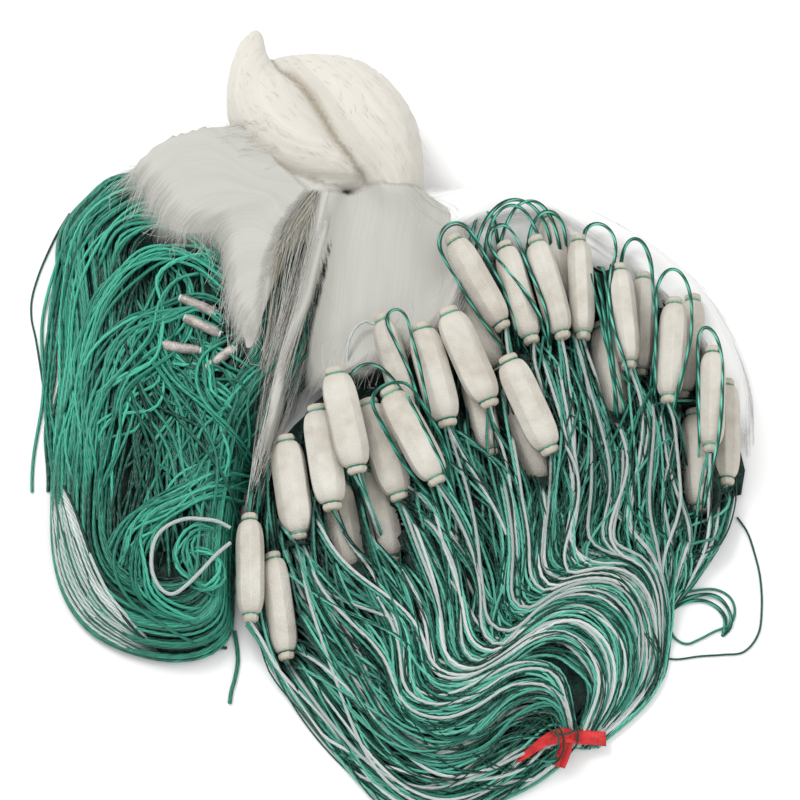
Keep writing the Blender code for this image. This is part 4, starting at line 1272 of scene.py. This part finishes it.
RIBBON = (
    # x, y, z of its middle line, half width
    (66, -247, 14.5, 1.6), (76, -243, 19.5, 2.2), (86, -236, 22.0, 3.4), (96, -231, 19.0, 4.6),
    (105, -229, 13.0, 4.8), (113, -228, 8.5, 4.6), (124, -228, 6.0, 4.6),
)
RIBBON_FLAP = (
    # the same of the end that hangs down over the line
    (101, -229, 16.5, 3.6), (99, -236, 12.0, 4.2), (97, -242, 8.0, 4.0), (96, -246, 5.5, 3.0),
)
TIE_TURNS = (
    # routes of (x, y, z) of the dark twine over the ribbon
    ((89, -216, 19), (92, -224, 22.5), (94, -231, 24), (95, -238, 22), (92, -242, 15),
     (87, -243, 9)),
    ((91, -217, 18), (95, -226, 22), (98, -233, 21.5), (98, -239, 16), (95, -243, 9),
     (90, -245, 5)),
    ((101, -213, 13), (105, -220, 15.5), (107, -228, 15), (106, -234, 12), (102, -237, 7),
     (97, -238, 5)),
    ((84, -222, 19), (90, -229, 23.5), (97, -231, 21), (104, -227, 16), (109, -221, 12)),
)
TIE_TURN_POINTS = 24
TIE_TURN_RADIUS = 0.6
RIBBON_ACROSS = 9
RIBBON_RINGS = 40
RIBBON_FLAP_RINGS = 10
RIBBON_THICK = 0.5


def ribbon_finish():
    """Red woven ribbon: fine cross ribs, a soft shine, patches of paler and darker red."""
    finish = Finish("red_ribbon", roughness=0.42)
    ribs = finish.own("along") * 7000.0
    ribs = ribs.math("SINE", ribs)
    cloud = finish.noise(130.0, 3.0)
    colour = finish.ramp(cloud, (0.35, (0.42, 0.006, 0.008)), (0.65, (0.72, 0.02, 0.02)))
    return finish.coat({"Base Color": colour, "Normal": finish.bump(ribs * 0.3 + cloud, 0.0004)})


def axes_along(path):
    """Ahead along a path, level across it, and square to both, at each of its points."""
    ahead = ahead_of(path)
    aside = np.cross(ahead, (0.0, 0.0, 1.0))
    aside /= np.linalg.norm(aside, axis=1)[:, None]
    return ahead, aside, np.cross(aside, ahead)


def strip(table, rings, first):
    """Points, lengths and faces of a creased strip along a table's rows."""
    line = smooth_run(table, rings)
    path = line[:, :3]
    _, aside, upward = axes_along(path)
    far = travelled(path)
    points, along, faces = [], [], []
    for ring in range(rings):
        for step in range(RIBBON_ACROSS):
            out = 2.0 * step / (RIBBON_ACROSS - 1) - 1.0
            crease = 0.4 * math.sin(2.2 * out + 0.5 * ring) + 0.3 * math.sin(5 * out - 0.3 * ring)
            points.append(path[ring] + aside[ring] * out * line[ring, 3] + upward[ring] * crease)
            along.append(far[ring] * MM)
            if ring and step:
                here = first + ring * RIBBON_ACROSS + step
                back = here - RIBBON_ACROSS
                faces.append((back - 1, back, here, here - 1))
    return points, along, faces


points, along, faces = strip(RIBBON, RIBBON_RINGS, 0)
ribbon_length = max(along)
more_points, more_along, more_faces = strip(RIBBON_FLAP, RIBBON_FLAP_RINGS, len(points))
points, along, faces = points + more_points, along + more_along, faces + more_faces
ribbon_length += max(more_along)
ribbon_mesh = bpy.data.meshes.new("red_tie_ribbon")
ribbon_mesh.from_pydata(place(points).tolist(), [], faces)
store(ribbon_mesh, "along", np.array(along))
cover(ribbon_mesh, ribbon_finish())
ribbon = show("red_tie_ribbon", ribbon_mesh)
solidify = ribbon.modifiers.new("thickness", "SOLIDIFY")
solidify.thickness = RIBBON_THICK * MM
solidify.offset = 0.0
dress(ribbon, "tie_ribbon")
tie_turns = [place(smooth_run(route, TIE_TURN_POINTS)) for route in TIE_TURNS]
cords("tie_turns", tie_turns, TIE_TURN_RADIUS * MM, 6, dark_twine, loop_rng)

# ---------------------------------------------------------------- netting
# Fine pale netting gathered into a rope, knotted once over itself, with its wings spread over
# both hanks. Loose filaments stand off it and thin out over the lines.

NETTING_ROLLS = {
    # sections (x, y, z, half_width, half_height) from each roll's start to its end
    "left_lobe": ((-90, 243, 31, 4, 4), (-94, 229, 30, 10, 10), (-93, 208, 29, 17, 18),
                  (-86, 191, 29, 25, 25), (-75, 174, 29, 27, 28), (-58, 156, 30, 23, 26),
                  (-41, 145, 31, 14, 19), (-28, 139, 30, 6, 10)),
    "right_lobe": ((-78, 224, 16, 7, 10), (-58, 211, 24, 18, 20), (-36, 196, 29, 27, 28),
                   (-20, 174, 30, 30, 29), (-9, 154, 28, 25, 27), (-3, 136, 24, 18, 22),
                   (-3, 120, 18, 18, 18)),
    "right_wing": ((-14, 146, 18, 14, 18), (-11, 122, 15, 27, 17), (-8, 98, 14, 38, 16),
                   (-3, 74, 12, 44, 14), (-11, 52, 11, 41, 13), (-30, 34, 10, 29, 12),
                   (-46, 22, 8, 14, 8)),
    "back_roll": ((8, 100, 12, 24, 16), (36, 108, 11, 24, 16), (66, 118, 11, 24, 16),
                  (98, 112, 10, 23, 15), (128, 98, 10, 21, 14), (156, 78, 9, 19, 13),
                  (180, 52, 8, 17, 11), (197, 22, 7, 14, 10), (206, -6, 5, 9, 8)),
    "left_wing_high": ((-58, 142, 24, 14, 16), (-92, 147, 29, 24, 13), (-122, 149, 32, 24, 9),
                       (-147, 143, 34, 18, 5), (-166, 135, 33, 8, 2.5)),
    "left_wing_low": ((-58, 136, 24, 16, 15), (-87, 127, 31, 23, 10), (-112, 117, 34, 21, 7),
                      (-134, 107, 36, 14, 4), (-147, 101, 35, 6, 2.5)),
    "centre_tuft": ((-55, 130, 24, 14, 14), (-74, 106, 31, 18, 9), (-86, 77, 34, 16, 6),
                    (-92, 46, 34.5, 11, 4), (-93, 16, 33.5, 4.5, 2.5)),
    "tail": ((-43, 132, 28, 8, 7), (-53, 84, 34, 6, 5), (-63, 38, 35, 5.5, 4.5),
             (-73, -2, 35.5, 5, 4), (-82, -38, 35, 4.5, 3.5), (-90, -80, 35, 3.5, 2.8)),
}
NETTING_LOBES = 2  # the first rolls, which make the knot
NETTING_BACK = 3  # the thin roll behind the floats
NETTING_VOXEL = 2.3 * MM
NETTING_AHEAD = 8.0  # how far off along a roll counts as much as its own half width does across
NETTING_CREASE_SHADE = 0.55  # how much nearer than the next roll a roll is, where the painted crease shade ends
NETTING_SOFTER = 26  # rounds of smoothing away from the knot
NETTING_EVEN = 4  # rounds of smoothing over all
NETTING_WING_CREASE_SHADE = 0.85  # how much paler the painted crease shade is away from the knot
NETTING_GAPS = (
    # runs of (x, y, radius) of the gaps beside the tail, painted dark as shade
    ((-54, 123, 5), (-60, 110, 9), (-65, 94, 13), (-67, 76, 14.5), (-69, 60, 13), (-73, 44, 9),
     (-77, 30, 5)),
    ((-43, 92, 1.5), (-49, 66, 3), (-55, 42, 4), (-62, 20, 6), (-66, 4, 9), (-66, -12, 9)),
    ((-57, 84, 0.8), (-65, 50, 1.6), (-75, 10, 2.5), (-83, -30, 4), (-90, -74, 6)),
)
GAP_POINTS = 40
GAP_BARE = 0.35  # share of a gap's radius, up to which its painted shade is deepest


def out_of_gap(points):
    """How far netting lies out of the gap: 0 in its middle, 1 clear of it."""
    run = place(np.concatenate([smooth_run(gap, GAP_POINTS) for gap in NETTING_GAPS]))
    away = np.linalg.norm(points[:, None, :2] - run[None, :, :2], axis=2) / run[:, 2]
    return np.clip(away.min(axis=1) - GAP_BARE, 0.0, 1.0)


def netting_finish():
    """Pale nylon netting pressed together: fine streaks along the gather and a soft sheen, with
    painted shade where two rolls of it meet and down in the gap, where its threads show dark."""
    finish = Finish("pale_netting", roughness=0.75, sheen_weight=0.25, specular_ior_level=0.25)
    lay = finish.own("lay", "Vector")
    fine = finish.noise(1.0, 4.0, finish.stretched(lay, (20.0, 1100.0, 1100.0)), 0.65)
    folds = finish.noise(1.0, 3.0, finish.stretched(lay, (9.0, 150.0, 150.0)))
    seam = finish.own("seam")
    colour = finish.ramp(
        fine * 0.35 + folds * 0.65,
        (0.3, (0.49, 0.465, 0.41)),
        (0.5, (0.56, 0.535, 0.48)),
        (0.7, (0.60, 0.58, 0.53)),
    )
    # Painted shade in the gaps beside the tail: the fine streaks turn dark olive there, threads
    # seen down in shade.
    threads = finish.ramp(fine, (0.42, (0.09, 0.085, 0.055)), (0.62, (0.36, 0.34, 0.27)))
    clear = finish.eased(finish.own("clear") + (folds - 0.5) * 0.9, 0.1, 0.85)
    spread = finish.own("spread")
    colour = finish.blend(spread * 0.85, colour, (0.52, 0.515, 0.485))
    colour = finish.blend(finish.own("faint"), colour, (0.79, 0.79, 0.78))
    colour = finish.blend(clear, threads, colour)
    return finish.coat({
        # Painted shade where two rolls meet: dark brown at the crease.
        "Base Color": finish.blend(seam, (0.22, 0.18, 0.12), colour),
        "Normal": finish.bump((fine * 0.1 + folds * 0.8) * seam * (1.0 - spread), 0.0009),
    })


start, shape = welded("netting")
shape.to_mesh(start)
shape.free()
holder = show("netting_start", start)
remesh = holder.modifiers.new("even", "REMESH")
remesh.mode = "VOXEL"
remesh.voxel_size = NETTING_VOXEL
netting_mesh = made_plain(holder)


def read(mesh_part, label, width):
    """The numbers that a mesh holds for each of its vertices or edges."""
    kind = np.int32 if label == "vertices" else np.float32
    values = np.empty(len(mesh_part) * width, dtype=kind)
    mesh_part.foreach_get(label, values)
    return values.reshape(-1, width)


spots = read(netting_mesh.vertices, "co", 3).astype(float)
edges = read(netting_mesh.edges, "vertices", 2)
joined = np.concatenate([edges, edges[:, ::-1]])
shares = np.bincount(joined[:, 0], minlength=len(spots))[:, None]


def evened(values, weight, rounds):
    """Values drawn towards those of the vertices next to them."""
    for _ in range(rounds):
        total = np.zeros_like(values)
        np.add.at(total, joined[:, 0], values[joined[:, 1]])
        values = values + (total / shares - values) * weight
    return values


scores, flows, lays = [], [], []
rows = np.arange(len(spots))
for number, table in enumerate(NETTING_ROLLS.values()):
    run = smooth_run(table, ROUTE_POINTS)
    path = place(run[:, :3])
    ahead, aside, upward = axes_along(path)
    gap = spots[:, None, :] - path[None, :, :]
    wide = np.einsum("pki,ki->pk", gap, aside) / (run[:, 3] * MM)
    high = np.einsum("pki,ki->pk", gap, upward) / (run[:, 4] * MM)
    away = np.einsum("pki,ki->pk", gap, ahead) / (NETTING_AHEAD * MM)
    score = wide**2 + high**2 + away**2
    pick = score.argmin(axis=1)
    size = np.sqrt(run[pick, 3] * run[pick, 4]) * MM
    round_it = np.arctan2(high[rows, pick], wide[rows, pick]) * size
    scores.append(score[rows, pick])
    flows.append(ahead[pick])
    along = travelled(path)[pick] + number
    lays.append(np.column_stack([along, round_it, np.full(len(spots), number * 0.3)]))
scores = np.array(scores)
owner = scores.argmin(axis=0)
lay = np.array(lays)[owner, rows]
flow = np.array(flows)[owner, rows]
ordered = np.sort(scores, axis=0)
# Painted crease shade: 0 where two rolls meet, 1 clear of the crease, and kept pale on the wings.
seam = np.clip((ordered[1] - ordered[0]) / NETTING_CREASE_SHADE, 0.0, 1.0)
on_knot = owner < NETTING_LOBES
seam = np.where(on_knot, seam, np.minimum(seam + NETTING_WING_CREASE_SHADE, 1.0))
seam = evened(seam[:, None], 0.5, 2)[:, 0]
spots = evened(spots, 0.5, NETTING_EVEN)
softness = evened((~on_knot).astype(float)[:, None], 0.5, 6)
spots = evened(spots, 0.5 * softness, NETTING_SOFTER)
flow = evened(flow, 0.5, 10)
faint = evened((owner == NETTING_BACK).astype(float)[:, None], 0.5, 20)
netting_mesh.vertices.foreach_set("co", spots.astype(np.float32).ravel())
store(netting_mesh, "lay", lay)
store(netting_mesh, "seam", seam)
store(netting_mesh, "clear", out_of_gap(spots))
store(netting_mesh, "spread", softness)
store(netting_mesh, "faint", faint)
cover(netting_mesh, netting_finish())
dress(show("gathered_netting", netting_mesh), "netting")

# ---------------------------------------------------------------- spread netting
# Out from under the knot the netting spreads in thin layers of gauze that dissolve into single
# filaments over the lines and the floats. Short hairs stand off the knot itself.

VEILS = {
    # ways the netting runs, side by side; filaments, their least and greatest length, their lift,
    # the share of them in shade, the cut size of a layer of gauze, where it has any, and how far
    # it frays out at its end and at its first and last way
    "left_wing": ((
        ((-84, 166), (-104, 176), (-122, 177), (-142, 172), (-161, 163), (-184, 148)),
        ((-80, 156), (-99, 161), (-119, 160), (-139, 154), (-159, 142), (-183, 126)),
        ((-72, 143), (-90, 145), (-108, 141), (-127, 133), (-146, 121), (-168, 103)),
        ((-64, 136), (-80, 133), (-97, 126), (-114, 116), (-131, 102), (-151, 82)),
        ((-60, 132), (-75, 122), (-90, 112), (-102, 102), (-111, 90), (-120, 74)),
        ((-57, 130), (-70, 115), (-84, 99), (-95, 79), (-102, 56), (-107, 26)),
        ((-54, 128), (-64, 112), (-76, 94), (-86, 70), (-92, 42), (-97, 8)),
        ((-51, 126), (-57, 112), (-67, 97), (-76, 78), (-81, 52), (-85, 12))), 380, 18, 42, 1.0,
        0.0, (0.130, 0.130), (44, 12, 12)),
    "gap": ((
        ((-58, 124), (-68, 106), (-76, 84), (-79, 60), (-82, 34), (-86, 10)),
        ((-52, 126), (-60, 104), (-66, 80), (-70, 56), (-75, 30), (-82, 2)),
        ((-46, 128), (-52, 104), (-57, 80), (-62, 54), (-70, 24), (-78, -6))), 200, 25, 60, 1.2,
        0.7, None, None),
    "tail": ((
        ((-51, 128), (-63, 88), (-74, 40), (-84, -2), (-90, -38), (-95, -80)),
        ((-44, 129), (-53, 88), (-63, 40), (-73, -2), (-81, -38), (-89.5, -78)),
        ((-38, 129), (-43, 88), (-52, 40), (-63, -2), (-73, -38), (-85, -80))), 300, 25, 90, 2.0,
        0.15, (0.034, 0.200), (60, 18, 18)),
    "right_wing": ((
        ((-54, 128), (-58, 98), (-57, 66), (-59, 30), (-66, -6)),
        ((-36, 130), (-42, 90), (-43, 52), (-48, 18), (-56, -14)),
        ((-17, 132), (-18, 90), (-22, 50), (-30, 12), (-38, -14)),
        ((0, 130), (4, 90), (3, 52), (-4, 22), (-10, -2)),
        ((12, 130), (26, 104), (30, 72), (24, 42), (18, 16)),
        ((16, 134), (44, 122), (52, 92), (44, 60), (38, 38))), 300, 25, 50, 1.0, 0.0,
        (0.105, 0.140), (34, 9, 22)),
    "back": ((
        ((10, 132), (52, 146), (90, 144), (126, 122), (160, 102), (187, 79), (206, 44), (218, 4),
         (219, -30)),
        ((14, 112), (54, 127), (90, 128), (124, 108), (155, 86), (180, 62), (196, 30), (205, -8),
         (208, -38)),
        ((16, 92), (54, 106), (90, 110), (122, 92), (149, 70), (171, 46), (184, 18), (192, -18),
         (197, -46))), 260, 30, 70, 1.0, 0.0, (0.040, 0.290), (30, 14, 14)),
}
VEIL_ROWS, VEIL_COLUMNS = 44, 60
VEIL_RADIUS = 0.1
VEIL_STEP = 9.0
VEIL_OVER_LINES = 3.0  # how far over the hanks' solids the netting lies
VEIL_CURL = 1.8
VEIL_GIRTHS = (0.6, 1.2)
VEIL_TIP = 0.45  # share of a filament's girth that is left at its end
GAUZE_LIFTS = (1.2, 3.0)  # of its layers over what they lie on
GAUZE_HIGHEST = 41.0
GAUZE_EASING = 40  # rounds of smoothing over what they lie on
GAUZE_UPPER_FRAY = 6.0  # over it the gauze thins out under the knot
GAUZE_STAGGER = 0.16  # how much sooner each layer frays than the one below
KNOT_HAIRS = 420
KNOT_HAIR_LENGTH = (4.0, 10.0)
KNOT_HAIRS_ABOVE = 30.0
KNOT_HAIR_POINTS = 5
KNOT_HAIR_GIRTHS = (0.75, 0.3)  # at its foot and at its tip
KNOT_HAIR_FRAY = 0.16  # how far its way strays from the flow
HAIR_LOWEST = 0.5 * MM


def filament_finish(name, thin, thick):
    """Clear nylon filament, milky where it is seen in a mass."""
    finish = Finish(name, roughness=0.6, specular_ior_level=0.3)
    colour = finish.ramp(finish.own("tone"), (0.1, thin), (0.9, thick))
    return finish.coat({"Base Color": colour})


def gauze_finish():
    """Thin netting in layers: fine streaks along its run, fraying out at its edges."""
    finish = Finish("netting_gauze", roughness=0.85, specular_ior_level=0.2)
    lay = finish.own("lay", "Vector")
    fine = finish.noise(1.0, 4.0, finish.stretched(lay, (16.0, 800.0, 1.0)), 0.7)
    folds = finish.noise(1.0, 3.0, finish.stretched(lay, (9.0, 90.0, 1.0)))
    mix = fine * 0.5 + folds * 0.5
    dense = finish.eased(finish.own("inside") * 1.15 + mix, 0.62, 1.32, most=0.93)
    colour = finish.ramp(mix, (0.35, (0.435, 0.43, 0.395)), (0.65, (0.495, 0.488, 0.452)))
    colour = finish.blend(finish.own("faint"), colour, (0.79, 0.79, 0.78))
    return finish.coat({"Base Color": colour, "Alpha": dense, "Normal": finish.bump(mix, 0.0002)})


class Over:
    """The netting's surface, and a little above the hanks' surfaces for the lines on them."""

    def __init__(self, bare, lined, extra):
        self.bare, self.lined, self.extra = bare, lined, extra

    def at(self, spots):
        """Heights under rows of (x, y) in metres."""
        lined = self.lined.at(spots)
        return np.maximum(self.bare.at(spots), lined + self.extra * (lined > 0.002))


veil_top = Over(Top("netting"), Top("lead_line_hank", "float_line_hank"), VEIL_OVER_LINES * MM)
pale_filament = filament_finish("pale_filament", (0.58, 0.57, 0.54), (0.72, 0.71, 0.68))
shaded_filament = filament_finish("shaded_filament", (0.22, 0.21, 0.16), (0.42, 0.40, 0.34))
knot_filament = filament_finish("knot_filament", (0.56, 0.54, 0.49), (0.70, 0.68, 0.63))
netting_gauze = gauze_finish()
veil_rng = np.random.default_rng(31)
filaments = {}
for name, (guides, count, least, greatest, lift, dim, cut, frays) in VEILS.items():
    runs = [smooth_run(guide, VEIL_ROWS) for guide in guides]
    cloth = [smooth_run([run[row] for run in runs], VEIL_COLUMNS) for row in range(VEIL_ROWS)]
    cloth = np.array(cloth)
    reach = np.mean([length_of(run) for run in runs])
    for number in range(count):
        length = veil_rng.uniform(least, greatest) / reach
        first = veil_rng.uniform(-0.03, 1.0) * (1.0 - 0.6 * length)
        down = np.linspace(first, first + length, max(4, int(length * reach / VEIL_STEP)))
        side = veil_rng.beta(0.8, 0.8) + waves(veil_rng, down, 0.05, 0.5, 3.0)
        rows = np.clip(down, 0.0, 1.0) * (VEIL_ROWS - LAST_CELL)
        columns = np.clip(side, 0.0, 1.0) * (VEIL_COLUMNS - LAST_CELL)
        low, left = rows.astype(int), columns.astype(int)
        run = cloth[low, left] + (cloth[low + 1, left] - cloth[low, left]) * (rows - low)[:, None]
        run = run + (cloth[low, left + 1] - cloth[low, left]) * (columns - left)[:, None]
        way = cloth[-1, left[0]] - cloth[-4, left[0]]
        way = way / np.linalg.norm(way)
        run = run + way * np.maximum(down - 1.0, 0.0)[:, None] * reach * 0.35
        curl = veil_rng.normal(0.0, VEIL_CURL, 2) * shares_along(run)[:, None] ** 2
        run = place(level(run + curl))
        raised = (0.2 + veil_rng.random() * lift) * MM
        run = laid(run, veil_top, raised, 0.0, 10)
        thin = np.linspace(1.0, VEIL_TIP, len(run)) * veil_rng.uniform(*VEIL_GIRTHS)
        kind = "shaded" if veil_rng.random() < dim else name
        filaments.setdefault(kind, []).append(np.column_stack([run, thin]))
    for layer_number, height in enumerate(GAUZE_LIFTS if cut else ()):
        flat = place(level(cloth.reshape(-1, 2)))
        z = veil_top.at(flat).reshape(VEIL_ROWS, VEIL_COLUMNS) + height * MM
        z = np.minimum(z, (GAUZE_HIGHEST + height) * MM)
        rest = z.copy()
        for _ in range(GAUZE_EASING):
            soften(z)
            soften(z.T)
            z = np.maximum(z, rest)
        flat[:, 2] = z.ravel()
        grid = flat.reshape(VEIL_ROWS, VEIL_COLUMNS, 3)
        steps = np.linalg.norm(np.diff(grid, axis=0, prepend=grid[:1]), axis=2)
        down = np.cumsum(steps, axis=0)
        steps = np.linalg.norm(np.diff(grid, axis=1, prepend=grid[:, :1]), axis=2)
        over = np.cumsum(steps, axis=1)
        edges = (down[-1:] - down, over, over[:, -1:] - over, down)
        edges = [edge / (fray * MM) for edge, fray in zip(edges, (*frays, GAUZE_UPPER_FRAY))]
        inside = np.clip(np.min(edges, axis=0) - GAUZE_STAGGER * layer_number, 0.0, 1.0)
        inside *= out_of_gap(flat).reshape(inside.shape) ** 0.7
        faces = [
            (a, a + VEIL_COLUMNS, a + VEIL_COLUMNS + 1, a + 1)
            for row in range(VEIL_ROWS - 1)
            for a in range(row * VEIL_COLUMNS, (row + 1) * VEIL_COLUMNS - 1)
        ]
        mesh = bpy.data.meshes.new(f"netting_gauze_{name}_{layer_number + 1}")
        mesh.from_pydata(flat.tolist(), [], faces)
        spread = np.stack([down + layer_number * 3.0, over, np.zeros_like(over)], axis=2)
        store(mesh, "lay", spread)
        store(mesh, "inside", inside)
        store(mesh, "faint", np.full(inside.shape, float(name == "back")))
        if mesh.polygons[len(faces) // 2].normal.z < 0:
            mesh.flip_normals()
        cover(mesh, netting_gauze)
        piece = show(mesh.name, mesh)
        dress(piece)
normals = read(netting_mesh.vertices, "normal", 3).astype(float)
knot_only = (spots[:, 2] > KNOT_HAIRS_ABOVE * MM) & (np.ravel(softness) < 0.25)
chosen = veil_rng.choice(np.flatnonzero(knot_only), KNOT_HAIRS, replace=False)
for vertex in chosen:
    way = flow[vertex] - normals[vertex] * (flow[vertex] @ normals[vertex])
    way /= max(np.linalg.norm(way), 1e-6)
    way = way * veil_rng.choice([-1.0, 1.0]) + veil_rng.normal(0.0, KNOT_HAIR_FRAY, 3)
    length = veil_rng.uniform(*KNOT_HAIR_LENGTH) * MM
    step = np.linspace(0.0, 1.0, KNOT_HAIR_POINTS)[:, None]
    run = spots[vertex] + way * length * step
    run += normals[vertex] * (step * veil_rng.uniform(0.0, 0.7) - 0.2) * MM
    run += veil_rng.normal(0.0, 0.5, 3) * MM * step**2
    run[:, 2] = np.maximum(run[:, 2], HAIR_LOWEST)
    thin = np.linspace(*KNOT_HAIR_GIRTHS, KNOT_HAIR_POINTS)
    filaments.setdefault("hairs", []).append(np.column_stack([run, thin]))
for name, lines in filaments.items():
    finish = {"shaded": shaded_filament, "hairs": knot_filament}.get(name, pale_filament)
    cords(f"netting_filaments_{name}", lines, VEIL_RADIUS * MM, 3, finish,
          veil_rng)

# ---------------------------------------------------------------- floor and light
# A plain pale surface that the net lies on. Three soft lamps and a white sky light it, the
# strongest from behind on the left.

FLOOR_CORNERS = ((-6, -6, 0), (6, -6, 0), (6, 6, 0), (-6, 6, 0))  # metres
SKY_STRENGTH = 0.75


def floor_finish():
    """Matt white paper."""
    finish = Finish("studio_floor", roughness=0.9)
    tint = finish.ramp(finish.noise(3.0), (0.3, (0.88, 0.88, 0.88)), (0.7, (0.9, 0.9, 0.9)))
    return finish.coat({"Base Color": tint})


floor_mesh = bpy.data.meshes.new("studio_floor")
floor_mesh.from_pydata(FLOOR_CORNERS, [], [(0, 1, 2, 3)])
floor_mesh.materials.append(floor_finish())
floor = show("studio_floor", floor_mesh)

LIGHTS = (
    # name, place, watts, size; the places and sizes are in metres
    ("key", (-0.9, 0.9, 1.6), 26.0, 1.0),
    ("fill", (1.4, -0.6, 1.5), 12.0, 1.6),
    ("front", (0.0, -1.8, 1.4), 8.0, 1.6),
)
for name, spot, watts, size in LIGHTS:
    lamp = bpy.data.lights.new(name, "AREA")
    lamp.energy = watts
    lamp.size = size
    holder = show(name, lamp)
    holder.location = spot
    holder.rotation_euler = (-Vector(spot)).to_track_quat("-Z", "Y").to_euler()
sky = bpy.data.worlds.new("studio")
sky.use_nodes = True
Tree(sky.node_tree).plug(
    sky.node_tree.nodes["Background"], {"Color": (1.0, 1.0, 1.0, 1.0), "Strength": SKY_STRENGTH}
)
scene.world = sky
scene.view_settings.view_transform = "Standard"
